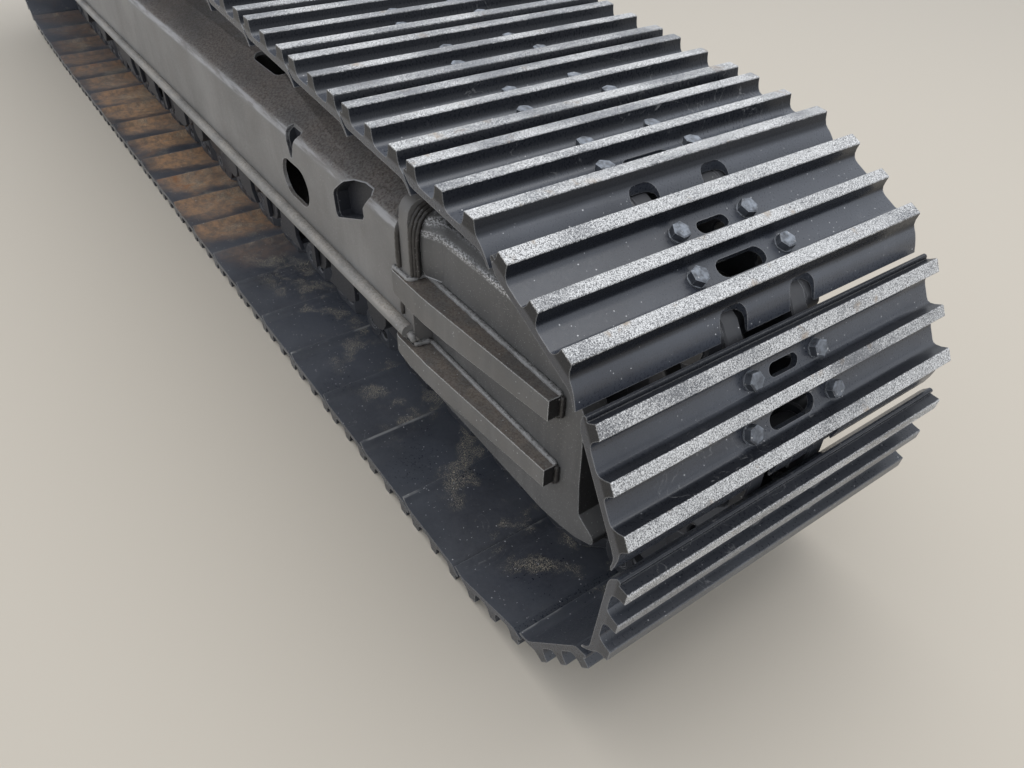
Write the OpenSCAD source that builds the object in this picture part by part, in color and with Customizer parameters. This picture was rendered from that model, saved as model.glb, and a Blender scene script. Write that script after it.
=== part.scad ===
// Crawler track unit of a large excavator: side frame, idler, rollers, drive and shoe chain.
// X points forward to the idler, Y to the machine's centre and Z up, and the ground is at Z = 0.
// Lengths along the track are counted from the idler's axis, with minus to the rear.

/* [Shoe chain] */
// Distance between two pins
pitch = 216; // [208:1:222]
// Number of shoes in the loop
shoe_count = 52; // [50:1:54]
// Width of a shoe
shoe_w = 750; // [700:10:900]
// Thickness of a shoe's plate
shoe_t = 12; // [10:1:15]
// Height of a grouser over the plate
grouser_h = 28; // [20:1:34]
// Pin line to the face that the shoe is bolted to
bed_h = 48; // [44:1:54]
// Pin line to the rail that the rollers run on
rail_h = 66; // [60:1:70]
// Inner face of a link, from the middle
link_in = 56; // [54:1:62]
// Outer face of a link, from the middle
link_out = 128; // [120:1:130]
// Radius of a bushing
bushing_r = 30; // [26:1:33]
// Part of a pitch from the top run's end to the first pin on the idler
shoe_phase = 0.12; // [0:0.01:1]

/* [Idler] */
// Radius of the idler's treads
idler_r = 278; // [265:1:285]
// Room between the treads and the rails
idler_gap = 5; // [5:0.5:8]
// Radius of the idler's shaft
idler_shaft_r = 45; // [38:1:55]
// Height of the idler's guide flange over the treads
idler_flange_h = 22; // [15:1:28]
// Width over the idler's treads
idler_w = 236; // [220:2:240]

/* [Drive] */
// Number of sprocket teeth
sprocket_teeth = 23; // [21:2:25]
// Height of the drive's axis over the ground
sprocket_z = 516; // [505:1:530]
// Thickness of the sprocket
sprocket_t = 58; // [48:1:70]
// Radius of the final drive's case
drive_r = 235; // [200:1:250]
// Reach of the final drive past the middle on the outer side
drive_reach = 262; // [220:1:290]
// Inner face of the drive bracket, from the middle
bracket_y = 140; // [136:1:150]
// Thickness of the drive bracket
bracket_t = 38; // [28:1:45]
// Radius of the travel motor
motor_r = 112; // [90:1:125]
// Length of the travel motor
motor_len = 160; // [130:1:165]

/* [Rollers] */
// Number of track rollers
roller_count = 10; // [8:1:10]
// Radius of a track roller's treads
roller_r = 100; // [85:1:105]
// Idler's axis to the first track roller
first_roller = 690; // [650:5:730]
// Last track roller to the drive's axis
last_roller = 530; // [515:5:560]
// Radius of a carrier roller
carrier_r = 68; // [60:1:70]
// Idler's axis to the front carrier roller
front_carrier = 1250; // [1100:10:1400]
// Rear carrier roller to the drive's axis
rear_carrier = 1450; // [1300:10:1600]
// Height of the front carrier roller's axis
front_carrier_z = 783; // [778:1:790]
// Height of the rear carrier roller's axis
rear_carrier_z = 799; // [794:1:806]
// Room between the carrier rollers and the rails
carrier_gap = 4.5; // [4.5:0.1:8]
// Height of the lower edge of the track guards
guard_low = 215; // [205:1:230]

/* [Side frame] */
// Outer face of the side frame, from the middle
frame_y = 260; // [255:1:270]
// Top of the roller rails
floor_z = 335; // [330:1:342]
// Height of the frame's lower outer edge
lip_z = 402; // [390:1:415]
// Height of the shoulder
shoulder_z = 643; // [625:1:650]
// Rise from the shoulder to the flat top
roof_rise = 50; // [40:1:54]
// Half width of the flat top
roof_y = 150; // [120:1:170]
// Radius of the shoulder
shoulder_r = 34; // [20:1:45]
// Thickness of the frame's plates
plate_t = 10; // [8:1:14]
// Idler's axis to the front end of the frame
frame_front = 365; // [355:5:390]
// Rear end of the frame to the drive's axis
frame_rear = 472; // [470:1:490]
// Radius of the bar on the frame's lower edge
bar_r = 16; // [12:1:20]

/* [Idler bracket] */
// Outer face of the idler bracket, from the middle
cheek_y = 218; // [210:1:225]
// Thickness of a bracket cheek
cheek_t = 54; // [44:1:56]
// Reach of the bracket past the idler's axis
cheek_reach = 150; // [130:1:165]
// Height of the bracket's lower edge
cheek_low = 205; // [195:1:220]
// Height of the upper rib
upper_rib_z = 541; // [520:1:560]
// Height of the lower rib
lower_rib_z = 372; // [360:1:378]
// Height of a rib at its thick end
rib_h = 64; // [50:1:70]
// Reach of a rib past the frame's outer face
rib_reach = 13; // [8:1:20]

/* [Seats for the car body] */
// Length of a seat
seat_len = 560; // [500:10:640]
// Height of a seat
seat_h = 206; // [190:1:215]
// Height of a seat's lower edge
seat_low = 436; // [430:1:440]
// Reach of a seat past the frame's inner face
seat_reach = 82; // [70:1:100]
// Thickness of a seat's plate
seat_plate = 40; // [30:1:45]
// Distance between the two seats
seat_span = 1500; // [1300:10:1700]
// Distance between bolt holes along a seat
seat_bolt_x = 440; // [380:10:460]
// Distance between bolt holes up a seat
seat_bolt_z = 130; // [110:5:140]
// Radius of a seat's bolt hole
seat_hole_r = 19.5; // [16:0.5:21]

/* [Hidden] */

paint = "#4a4b4d";
shoe_paint = "#3c4048";
cast_paint = "#454648";

// Shoe outline: grouser middles and crest widths, measured along the link from its rear pin
crest_h = bed_h + shoe_t + grouser_h;
plate_h = bed_h + shoe_t;
flank = 9;
lead_edge = 17;
lip_end = 247;
grousers = [[36, 25], [117, 20], [198, 24]];

// Heights that follow from the chain
pin_z = crest_h;
idler_apothem = idler_r + idler_gap + rail_h;
idler_pin_r = sqrt(pow(pitch / 2, 2) + pow(idler_apothem, 2));
idler_z = pin_z + idler_pin_r;
sprocket_pin_r = pitch / 2 / sin(360 / sprocket_teeth);
roller_z = pin_z + rail_h + roller_r + 0.3;
front_pin_z = front_carrier_z + carrier_r + rail_h + carrier_gap;
rear_pin_z = rear_carrier_z + carrier_r + rail_h + carrier_gap;
last_lift = 3.4;

// Path of the pins: [x, z, radius] of each bend, clockwise from the idler, for a centre distance c
function bends(c) = [
    [0, idler_z, idler_pin_r],
    [last_roller - c, pin_z, 0],
    [-c, sprocket_z, sprocket_pin_r],
    [rear_carrier - c, rear_pin_z, 0],
    [-front_carrier, front_pin_z, 0]];
function xz(p) = [p[0], p[1]];
function tangent(a, b) =
    let (d = xz(b) - xz(a), u = d / norm(d), left = [-u[1], u[0]],
         g = asin((a[2] - b[2]) / norm(d)), n = left * cos(g) + u * sin(g))
    [xz(a) + a[2] * n, xz(b) + b[2] * n, atan2(n[1], n[0])];
function tangents(p) = [for (i = [0 : len(p) - 1]) tangent(p[i], p[(i + 1) % len(p)])];
function turn(a, b) = let (d = a - b) d - 360 * floor(d / 360);
function arc_steps(r, sweep) = r > 0 ? sweep / (2 * asin(pitch / 2 / r)) : 0;
// Each stretch is [steps, bend, start angle, sweep] on a bend or [steps, -1, start, end] on a straight
function stretches(p) =
    let (t = tangents(p), n = len(p))
    [for (i = [0 : n - 1]) each
        let (before = t[(i + n - 1) % n][2], sweep = turn(before, t[i][2]))
        [[arc_steps(p[i][2], sweep), i, before, sweep],
         [norm(t[i][1] - t[i][0]) / pitch, -1, t[i][0], t[i][1]]]];
function total(v, i = 0) = i < len(v) ? v[i][0] + total(v, i + 1) : 0;
function settle(c, rounds) = rounds == 0 ? c
    : settle(c + (shoe_count - total(stretches(bends(c)))) * pitch / 2, rounds - 1);
centre_distance = settle((shoe_count - 11.2) * pitch / 2, 5);

path = bends(centre_distance);
route = stretches(path);
function place(s, i = 0) =
    s > route[i][0] && i < len(route) - 1 ? place(s - route[i][0], i + 1)
    : let (k = route[i], f = k[0] > 0 ? s / k[0] : 0)
      k[1] < 0 ? k[2] + (k[3] - k[2]) * f
      : xz(path[k[1]]) + path[k[1]][2] * [cos(k[2] - k[3] * f), sin(k[2] - k[3] * f)];
pins = [for (i = [0 : shoe_count - 1]) place(i + shoe_phase)];
function heading(i) = let (d = pins[(i + 1) % shoe_count] - pins[i]) atan2(d[1], d[0]);

// The row's origin lies under the middle of the loop's length
function crest_xs(i) =
    let (a = heading(i))
    [for (g = grousers, s = [-1, 1]) pins[i][0] + (g[0] + s * g[1] / 2) * cos(a) - crest_h * sin(a)];
loop_xs = [for (i = [0 : shoe_count - 1]) each crest_xs(i)];
idler_x = -round(50 * (max(loop_xs) + min(loop_xs))) / 100;
drive_x = -centre_distance;

// Side frame places
frame_x0 = round(drive_x + frame_rear);
frame_x1 = -frame_front;
roof_z = shoulder_z + roof_rise;
rail_low = roller_z + 58;
rail_in = link_out + 28;
rail_out = 214;
channel_z = roller_z + roller_r + 30;
recoil_z = idler_z + 60;
lens_x = -962;
lens_z = 516;
lens_len = 164;
lens_h = 100;
roof_hole_x = -1329;
roof_hole_y = -125;
roof_hole_len = 220;
roof_hole_w = 84;
// Openings in the shoulder, as points along the frame and up, and how deep they go
pocket = [[-708, 532], [-717, 540], [-721, 586], [-714, 598], [-662, 638], [-632, 650], [-596, 655], [-560, 655],
          [-546, 648], [-551, 636], [-566, 614], [-564, 596], [-572, 586]];
pocket_depth = 38;
notch = [[-970, 582], [-984, 628], [-992, 648], [-984, 656], [-934, 656], [-923, 650], [-936, 632], [-950, 604],
         [-960, 582]];
notch_depth = 29;
pocket_wall = 8;
spring_r = 100;
spring_x0 = -1500;
spring_x1 = -640;
front_bulkhead = frame_x1 - 130;
mid_bulkhead = spring_x0 - 60;
bulkhead_t = 25;
collar_t = 38;
end_plate = 30;

// Idler and its carriage
block_y0 = idler_w / 2 + 7 + 5;
block_y1 = cheek_y - cheek_t - 0.3;
hub_half = block_y0 - 5;
fit_gap = 0.05;
block_w = 150;
block_h = 176;
yoke_x1 = frame_x1 - 12;
yoke_t = 55;
rod_r = 38;

// Places of the rollers, the guides and the seats
roller_gap = (centre_distance - first_roller - last_roller) / (roller_count - 1);
roller_xs = [for (i = [0 : roller_count - 1]) -first_roller - i * roller_gap];
// The last axle is a little higher, where the chain starts to rise
function axle_z(i) = roller_z + (i == roller_count - 1 ? last_lift : 0);
carrier_places = [[-front_carrier, front_carrier_z], [drive_x + rear_carrier, rear_carrier_z]];
guide_xs = [for (i = [3, 7]) if (i + 1 < roller_count) (roller_xs[i] + roller_xs[i + 1]) / 2];
collar_r = 52;
roller_half = link_out + 26;
collar_half = 200;
seat_middle = drive_x / 2;
seat_xs = [seat_middle - seat_span / 2, seat_middle + seat_span / 2];
seat_y = frame_y + seat_reach;
seat_z = seat_low + seat_h / 2;

module at(x, z) translate([idler_x + x, 0, z]) children();
// A flat outline in X and Z, carried from one Y to another
module slab(y0, y1) translate([idler_x, y1, 0]) rotate([90, 0, 0]) linear_extrude(y1 - y0) children();
// A flat outline in Y and Z, carried from one X to another
module beam(x0, x1) translate([idler_x + x0, 0, 0]) rotate([90, 0, 90]) linear_extrude(x1 - x0) children();
module rod_y(r, y0, y1, n = 64) translate([0, y1, 0]) rotate([90, 0, 0]) cylinder(r = r, h = y1 - y0, $fn = n);
module rod_x(r, x0, x1, n = 48) translate([x0, 0, 0]) rotate([0, 90, 0]) cylinder(r = r, h = x1 - x0, $fn = n);
// A profile of [radius, y] points turned about the Y axis
module turned(points, n = 96) rotate([-90, 0, 0]) rotate_extrude($fn = n) polygon(points);
function mirrored(points) = concat(points, [for (i = [len(points) - 1 : -1 : 0]) [points[i][0], -points[i][1]]]);
// The two sides of a section, from its right half listed from the bottom up
function both_sides(half) = concat(half, [for (i = [len(half) - 1 : -1 : 0]) [-half[i][0], half[i][1]]]);

// Half of the frame's section, d inside its outer faces
roof_angle = atan2(roof_rise, frame_y - roof_y);
function section(d) =
    let (r = shoulder_r, a = roof_angle, k = r * tan((90 - a) / 2), cy = frame_y - r, cz = shoulder_z - k)
    concat(d > 0 ? [[frame_y - d, channel_z + plate_t]] : [[rail_out, floor_z], [frame_y, lip_z]],
           [for (i = [0 : 4]) let (b = (90 - a) * i / 4) [cy + (r - d) * cos(b), cz + (r - d) * sin(b)]],
           [[roof_y - d * tan(a / 2), roof_z - d]]);

// Room under the frame for the rollers' flanges
module channel(x0, x1) beam(x0, x1) polygon([[-rail_in, floor_z - 60], [rail_in, floor_z - 60],
                                             [rail_in, channel_z - 8], [rail_in - 8, channel_z],
                                             [8 - rail_in, channel_z], [-rail_in, channel_z - 8]]);

module side_frame() color(paint) difference() {
    beam(frame_x0, frame_x1 - collar_t) polygon(both_sides(section(0)));
    beam(front_bulkhead, frame_x1) polygon(both_sides(section(plate_t)));
    beam(mid_bulkhead + bulkhead_t, front_bulkhead - bulkhead_t) polygon(both_sides(section(plate_t)));
    channel(frame_x0 - 1, frame_x1);
    // rod hole between the two spaces
    at(0, recoil_z) rod_x(rod_r + 6, front_bulkhead - bulkhead_t - 1, front_bulkhead + 1);
    // oval window in the outer face
    at(lens_x, lens_z) translate([0, -frame_y, 0]) oval_cut(lens_len, lens_h);
    // oval hole in the sloping roof
    at(roof_hole_x, roof_z) for (s = [-1, 1]) translate([s * (roof_hole_len - roof_hole_w) / 2, roof_hole_y, 0])
        cylinder(r = roof_hole_w / 2, h = 120, center = true, $fn = 48);
    at(roof_hole_x, roof_z) translate([0, roof_hole_y, 0])
        cube([roof_hole_len - roof_hole_w, roof_hole_w, 120], center = true);
    recess(pocket, pocket_depth);
    recess(notch, notch_depth);
}

module oval_cut(length, height) {
    for (s = [-1, 1]) translate([s * (length - height) / 2, 0, 0]) rotate([90, 0, 0])
        cylinder(r = height / 2, h = 3 * plate_t, center = true, $fn = 48);
    cube([length - height, 3 * plate_t, height], center = true);
}

module recess(points, depth) slab(-frame_y - 20, depth - frame_y) polygon(points);

// Recessed boxes behind the openings in the shoulder
module side_pockets() color(paint) for (p = [[pocket, pocket_depth], [notch, notch_depth]])
    difference() {
        let (x0 = min([for (q = p[0]) q[0]]) - pocket_wall, x1 = max([for (q = p[0]) q[0]]) + pocket_wall,
             low = min([for (q = p[0]) q[1]]) - pocket_wall)
            intersection() {
                at(x0, low) translate([0, -frame_y, 0]) cube([x1 - x0, p[1] + pocket_wall, 300]);
                beam(mid_bulkhead + bulkhead_t, front_bulkhead - bulkhead_t) polygon(both_sides(section(plate_t)));
            }
        recess(p[0], p[1]);
    }

// Right half of the front ring, which stands over the shoulder
ring_top = shoulder_z + 73;
ring_half = [[rail_out, floor_z], [frame_y, lip_z], [frame_y, ring_top - 44], [frame_y - 4, ring_top - 24],
             [frame_y - 12, ring_top - 11], [frame_y - 24, ring_top - 3], [frame_y - 38, ring_top]];

// Plate at the rear end, and the ring at the front that the bracket is welded to
module frame_end_plates() color(paint) {
    difference() {
        beam(frame_x0 - end_plate, frame_x0) polygon(both_sides(section(0)));
        channel(frame_x0 - end_plate - 1, frame_x0 + 1);
    }
    difference() {
        beam(frame_x1 - collar_t, frame_x1) polygon(both_sides(ring_half));
        channel(frame_x1 - collar_t - 1, frame_x1 + 1);
        beam(frame_x1 - collar_t - 1, frame_x1 + 1) polygon([
            [-block_y1 - 4, channel_z + plate_t], [block_y1 + 4, channel_z + plate_t],
            [block_y1 + 4, recoil_z + 70], [-block_y1 - 4, recoil_z + 70]]);
    }
}

module edge_bars() color(paint) for (s = [-1, 1])
    at(0, lip_z + bar_r * 0.6) translate([0, s * (frame_y + bar_r * 0.6), 0]) difference() {
        rod_x(bar_r, frame_x0, frame_x1 - 8, 32);
        translate([frame_x0 - 1, s > 0 ? -2 * bar_r - bar_r * 0.6 : bar_r * 0.6, -bar_r - 1])
            cube([frame_x1 - frame_x0 + 2, 2 * bar_r, 2 * bar_r + 2]);
    }

module roller_rails() color(paint) for (s = [-1, 1])
    beam(frame_x0 - end_plate, frame_x1) polygon([[s * rail_in, rail_low], [s * rail_out, rail_low],
                                      [s * rail_out, floor_z], [s * rail_in, floor_z]]);

// Outline of a bracket cheek, in X and Z
cheek_top = shoulder_z + 25;
nose_r = 16;
nose_x = cheek_reach + 58 - nose_r;
nose_z = cheek_low + 41 + nose_r;
cheek_outline = concat(
    [[frame_x1, cheek_low + 17], [-17, cheek_low + 7], [48, cheek_low + 4], [112, cheek_low + 12],
     [cheek_reach + 7, cheek_low + 23]],
    [for (b = [-65 : 28 : 75]) [nose_x + nose_r * cos(b), nose_z + nose_r * sin(b)]],
    [[cheek_reach + 12, nose_z + 34], [cheek_reach + 5, nose_z + 100], [cheek_reach, upper_rib_z - 10],
     [cheek_reach - 90, cheek_top - 12], [cheek_reach - 150, cheek_top], [frame_x1, cheek_top]]);

module bracket_cheek(s) intersection() {
    slab(s > 0 ? cheek_y - cheek_t : -cheek_y, s > 0 ? cheek_y : cheek_t - cheek_y) polygon(cheek_outline);
    beam(frame_x1, nose_x + nose_r + 1) polygon([
        [s * cheek_y, 0], [s * cheek_y, cheek_top - 15], [s * (cheek_y - 23), cheek_top],
        [s * (cheek_y - cheek_t), cheek_top], [s * (cheek_y - cheek_t), 0]]);
}
module bracket_cheek_outer() color(cast_paint) bracket_cheek(-1);
module bracket_cheek_inner() color(cast_paint) bracket_cheek(1);

// Cap that closes the top of the bracket behind the idler
module bracket_bridge() color(cast_paint) beam(frame_x1, -idler_r - idler_flange_h - 12)
    polygon(both_sides([[cheek_y - cheek_t, cheek_top - 40], [cheek_y - cheek_t, cheek_top]]));

// Ribs: top height, height of the thick end, and the rise of the lower edge towards the front
rib_table = [[upper_rib_z, rib_h, 17], [lower_rib_z, rib_h - 10, 10]];
module rib(top, tall, rise) {
    y_thick = frame_y + rib_reach;
    y_thin = cheek_y + 32;
    intersection() {
        slab(-y_thick, -cheek_y) polygon([[frame_x1 - 72, top], [frame_x1 - 72, top - tall + 10],
                                          [frame_x1 - 10, top - tall], [-220, top - tall],
                                          [92, top - tall + rise], [92, top]]);
        translate([idler_x, 0, 0]) linear_extrude(height = roof_z) polygon([
            [frame_x1 - 73, -frame_y - 3], [frame_x1 - 66, -y_thick + 3], [frame_x1 - 54, -y_thick],
            [-300, -y_thick], [93, -y_thin], [93, -cheek_y],
            [frame_x1, -cheek_y], [frame_x1, -frame_y], [frame_x1 - 73, -frame_y]]);
    }
}
module ribs_outer() color(paint) for (r = rib_table) rib(r[0], r[1], r[2]);
module ribs_inner() color(paint) mirror([0, 1, 0]) for (r = rib_table) rib(r[0], r[1], r[2]);

// Idler: treads, guide flange in the middle, dished webs and a long hub
module idler() color(cast_paint) at(0, idler_z) turned(mirrored([
    [idler_shaft_r + fit_gap, -hub_half], [idler_shaft_r + 42, -hub_half], [idler_shaft_r + 55, -66],
    [idler_r - 62, -58], [idler_r - 46, -idler_w / 2], [idler_r - 4, -idler_w / 2], [idler_r, -idler_w / 2 + 4],
    [idler_r, -52], [idler_r + idler_flange_h, -44]]), 128);

module idler_shaft() color(cast_paint) at(0, idler_z) rod_y(idler_shaft_r, -block_y1 + 2, block_y1 - 2);

module idler_blocks() color(cast_paint) for (s = [-1, 1]) at(0, idler_z) difference() {
    translate([-block_w / 2, s > 0 ? block_y0 : -block_y1, -block_h / 2])
        cube([block_w, block_y1 - block_y0, block_h]);
    rod_y(idler_shaft_r + fit_gap, -frame_y, frame_y);
}

// Fork from the idler's blocks to the rod of the recoil unit
yoke_low = channel_z + plate_t + 6;
module tension_yoke() color(cast_paint) {
    for (s = [-1, 1]) slab(s > 0 ? block_y0 : -block_y1, s > 0 ? block_y1 : -block_y0) polygon([
        [yoke_x1 - 1, yoke_low], [-block_w / 2, yoke_low], [-block_w / 2, idler_z + 46],
        [yoke_x1 + 40, idler_z + 46], [yoke_x1 - 1, recoil_z + 40]]);
    slab(-block_y1, block_y1) polygon([[yoke_x1 - yoke_t, yoke_low], [yoke_x1 + 12, yoke_low],
                                       [yoke_x1 + 12, recoil_z + 64], [yoke_x1 - yoke_t, recoil_z + 64]]);
    at(0, recoil_z) rod_x(rod_r, spring_x1, yoke_x1 - yoke_t);
}

// Spring and grease cylinder in the frame, as one plain block
module recoil_unit() color(cast_paint) {
    at(0, recoil_z) rod_x(spring_r, spring_x0, spring_x1);
    at(spring_x0 - 34, recoil_z) rod_x(spring_r - 30, 0, 34);
    for (x = [spring_x0 + 60, spring_x1 - 100]) at(x, channel_z + plate_t) translate([0, -70, 0])
        cube([40, 140, recoil_z - channel_z - plate_t - spring_r + 26]);
}

module track_rollers() color(cast_paint) for (i = [0 : roller_count - 1]) at(roller_xs[i], axle_z(i)) turned(mirrored([
    [0, -roller_half], [roller_r - 38, -roller_half], [roller_r + 14, -roller_half + 4],
    [roller_r + 20, -link_out - 6], [roller_r, -link_out - 3], [roller_r, -link_in + 8],
    [roller_r - 22, -link_in + 22]]), 64);

// End collars with a flat top under the rails
module roller_collars() color(cast_paint) for (i = [0 : roller_count - 1], s = [-1, 1]) at(roller_xs[i], axle_z(i)) {
    difference() {
        rod_y(collar_r, s > 0 ? roller_half : -collar_half, s > 0 ? collar_half : -roller_half, 48);
        translate([-collar_r, -frame_y, rail_low - axle_z(i)]) cube([2 * collar_r, 2 * frame_y, collar_r]);
    }
    translate([-collar_r - 12, s > 0 ? roller_half : -collar_half, rail_low - axle_z(i) - 30])
        cube([2 * collar_r + 24, collar_half - roller_half, 30]);
}

module carrier_rollers() color(cast_paint) for (p = carrier_places) at(p[0], p[1]) turned([
    [0, -link_out - 14], [carrier_r - 20, -link_out - 14], [carrier_r + 9, -link_out - 10],
    [carrier_r + 9, -link_out - 4], [carrier_r, -link_out - 2], [carrier_r, link_out + 2],
    [carrier_r + 9, link_out + 4], [carrier_r + 9, link_out + 10], [carrier_r - 20, link_out + 14],
    [34, link_out + 16], [34, link_out + 62], [0, link_out + 62]], 64);

// Clamp post at the inner end of each carrier roller
module carrier_brackets() color(paint) for (p = carrier_places) difference() {
    slab(link_out + 22, link_out + 58) polygon([
        [p[0] - 85, shoulder_z - 6], [p[0] + 85, shoulder_z - 6], [p[0] + 52, p[1] + 30],
        [p[0] + 34, p[1] + 50], [p[0] - 34, p[1] + 50], [p[0] - 52, p[1] + 30]]);
    beam(frame_x0, frame_x1) polygon(both_sides(section(0)));
    at(p[0], p[1]) rod_y(34 + fit_gap, 0, frame_y + 90, 48);
}

// Plates that keep the chain under the rollers
guide_t = 14;
guide_len = roller_gap - 2 * (roller_r + 20) - 16;
module track_guides() color(paint) for (x = guide_xs, s = [-1, 1]) {
    slab(s > 0 ? rail_in : -rail_in - guide_t, s > 0 ? rail_in + guide_t : -rail_in) polygon([
        [x - guide_len / 2, rail_low], [x - guide_len / 2, pin_z + 72], [x - guide_len / 2 + 30, pin_z + 36],
        [x + guide_len / 2 - 30, pin_z + 36], [x + guide_len / 2, pin_z + 72], [x + guide_len / 2, rail_low]]);
    slab(s > 0 ? link_out + 8 : -rail_in, s > 0 ? rail_in : -link_out - 8) polygon([
        [x - guide_len / 2 + 30, pin_z + 36], [x + guide_len / 2 - 30, pin_z + 36],
        [x + guide_len / 2 - 14, pin_z + 56], [x - guide_len / 2 + 14, pin_z + 56]]);
}

// Long guards that hang outside the rollers, open on both sides of each roller they cover
guard_pairs = [1, 5];
guard_over = [235, 265];
guard_wall = 12;
module track_guards() color(paint) for (g = guard_pairs, s = [-1, 1])
    let (front = roller_xs[g] + guard_over[1], rear = roller_xs[g + 1] - guard_over[0],
         middle = (roller_xs[g] + roller_xs[g + 1]) / 2) {
        difference() {
            slab(s > 0 ? rail_out - guard_wall : -rail_out, s > 0 ? rail_out : guard_wall - rail_out) polygon([
                [rear, rail_low], [rear, guard_low + 22], [rear + 40, guard_low], [front - 40, guard_low],
                [front, guard_low + 22], [front, rail_low]]);
            for (x = [roller_xs[g], roller_xs[g + 1]], k = [-1, 1])
                slab(-frame_y, frame_y) polygon([
                    [x + k * 14, guard_low - 1], [x + k * 96, guard_low - 1], [x + k * 124, guard_low + 34],
                    [x + k * 124, rail_low - 6], [x + k * 14, rail_low - 6]]);
        }
        // lip that keeps the chain in line between the two rollers
        slab(s > 0 ? link_out + 8 : -rail_out + guard_wall, s > 0 ? rail_out - guard_wall : -link_out - 8) polygon([
            [middle - 48, guard_low], [middle + 48, guard_low], [middle + 40, guard_low + 12], [middle - 40, guard_low + 12]]);
    }

// Triple grouser shoe: leading edge under the first grouser, curved lip behind the last
shoe_outline = concat(
    [[36, bed_h], [lead_edge, bed_h + 14]],
    [[grousers[0][0] - grousers[0][1] / 2, crest_h], [grousers[0][0] + grousers[0][1] / 2, crest_h],
     [grousers[0][0] + grousers[0][1] / 2 + flank, plate_h]],
    [for (i = [1, 2]) each [
        [grousers[i][0] - grousers[i][1] / 2 - flank, plate_h], [grousers[i][0] - grousers[i][1] / 2, crest_h],
        [grousers[i][0] + grousers[i][1] / 2, crest_h], [grousers[i][0] + grousers[i][1] / 2 + flank, plate_h]]],
    [[lip_end, bed_h - 10], [212, bed_h]]);

module on_link(i) translate([idler_x + pins[i][0], 0, pins[i][1]]) rotate([0, -heading(i), 0]) children();

module track_shoes() color(shoe_paint) for (i = [0 : shoe_count - 1]) on_link(i)
    rotate([90, 0, 0]) linear_extrude(shoe_w, center = true) polygon(shoe_outline);

// Links: rail on one side, shoe seat on the other, and an end at each pin
link_outline = [[3, 0], [26, -rail_h], [pitch - 26, -rail_h], [pitch - 3, 0], [pitch - 24, bed_h], [44, bed_h]];
module track_links() color(cast_paint) for (i = [0 : shoe_count - 1], s = [-1, 1]) on_link(i)
    translate([0, s > 0 ? link_out : -link_in, 0]) rotate([90, 0, 0])
        linear_extrude(link_out - link_in) polygon(link_outline);

module track_bushings() color(cast_paint) for (i = [0 : shoe_count - 1]) on_link(i)
    rotate([90, 0, 0]) cylinder(r = bushing_r, h = 2 * link_in - 0.6, center = true, $fn = 5);

// Sprocket: a round seat for a bushing at each tooth gap, turned to meet the chain
rear_pin = [for (i = [0 : shoe_count - 1]) if (pins[i][0] < drive_x - sprocket_pin_r * 0.93) i][0];
mesh_angle = let (d = pins[rear_pin] - [drive_x, sprocket_z]) atan2(d[1], d[0]);
tooth_angle = 360 / sprocket_teeth;
tooth_seat_r = bushing_r + 3;
tooth_tip = 17;
sprocket_outline = [for (i = [0 : sprocket_teeth - 1]) each
    let (a = mesh_angle + i * tooth_angle, c = sprocket_pin_r * [cos(a), sin(a)], b = a + tooth_angle / 2)
    concat([for (k = [-72 : 36 : 72]) c - tooth_seat_r * [cos(a - k), sin(a - k)]],
           [for (k = [-1, 1]) (sprocket_pin_r + tooth_tip) * [cos(b + k * 1.5), sin(b + k * 1.5)]])];

module sprocket() color(cast_paint) at(drive_x, sprocket_z) difference() {
    translate([0, sprocket_t / 2, 0]) rotate([90, 0, 0]) linear_extrude(sprocket_t) polygon(sprocket_outline);
    rod_y(drive_r - 20, -sprocket_t, sprocket_t, 96);
}

module final_drive() color(cast_paint) at(drive_x, sprocket_z) turned([
    [0, -drive_reach + 26], [drive_r - 62, -drive_reach + 26], [drive_r - 42, -drive_reach + 40],
    [drive_r - 30, -sprocket_t / 2 - 26], [drive_r + 42, -sprocket_t / 2 - 24], [drive_r + 42, -sprocket_t / 2],
    [drive_r - 20.5, -sprocket_t / 2], [drive_r - 20.5, sprocket_t / 2], [drive_r - 50, sprocket_t / 2 + 6],
    [0, sprocket_t / 2 + 6]], 96);

module drive_cover() color(cast_paint) at(drive_x, sprocket_z) {
    turned([[0, -drive_reach], [60, -drive_reach], [72, -drive_reach + 6], [drive_r - 84, -drive_reach + 10],
            [drive_r - 70, -drive_reach + 26], [0, -drive_reach + 26]], 96);
}

module drive_flange() color(cast_paint) at(drive_x, sprocket_z) turned([
    [0, sprocket_t / 2 + 6], [drive_r - 60, sprocket_t / 2 + 6], [drive_r - 48, bracket_y - 26],
    [drive_r + 20, bracket_y - 24], [drive_r + 20, bracket_y], [0, bracket_y]], 96);

// Rear plate of the frame that carries the drive
module drive_bracket() color(paint) difference() {
    union() {
        slab(bracket_y, bracket_y + bracket_t) polygon([
            [frame_x0 - end_plate, channel_z], [frame_x0 - end_plate, roof_z - 20],
            [drive_x + 60, sprocket_z + drive_r + 38], [drive_x, sprocket_z + drive_r + 45],
            [drive_x, sprocket_z - drive_r - 45], [drive_x + 90, sprocket_z - drive_r - 32],
            [drive_x + 290, channel_z - 40]]);
        at(drive_x, sprocket_z) rod_y(drive_r + 45, bracket_y, bracket_y + bracket_t, 96);
    }
    at(drive_x, sprocket_z) rod_y(motor_r + 4, bracket_y - 1, bracket_y + bracket_t + 1, 96);
}

module bracket_gussets() color(paint) for (z = [channel_z + 24, roof_z - 60])
    translate([idler_x + frame_x0 - end_plate, 0, z]) linear_extrude(24) polygon([
        [0, bracket_y], [0, bracket_y - 80], [-110, bracket_y]]);

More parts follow.
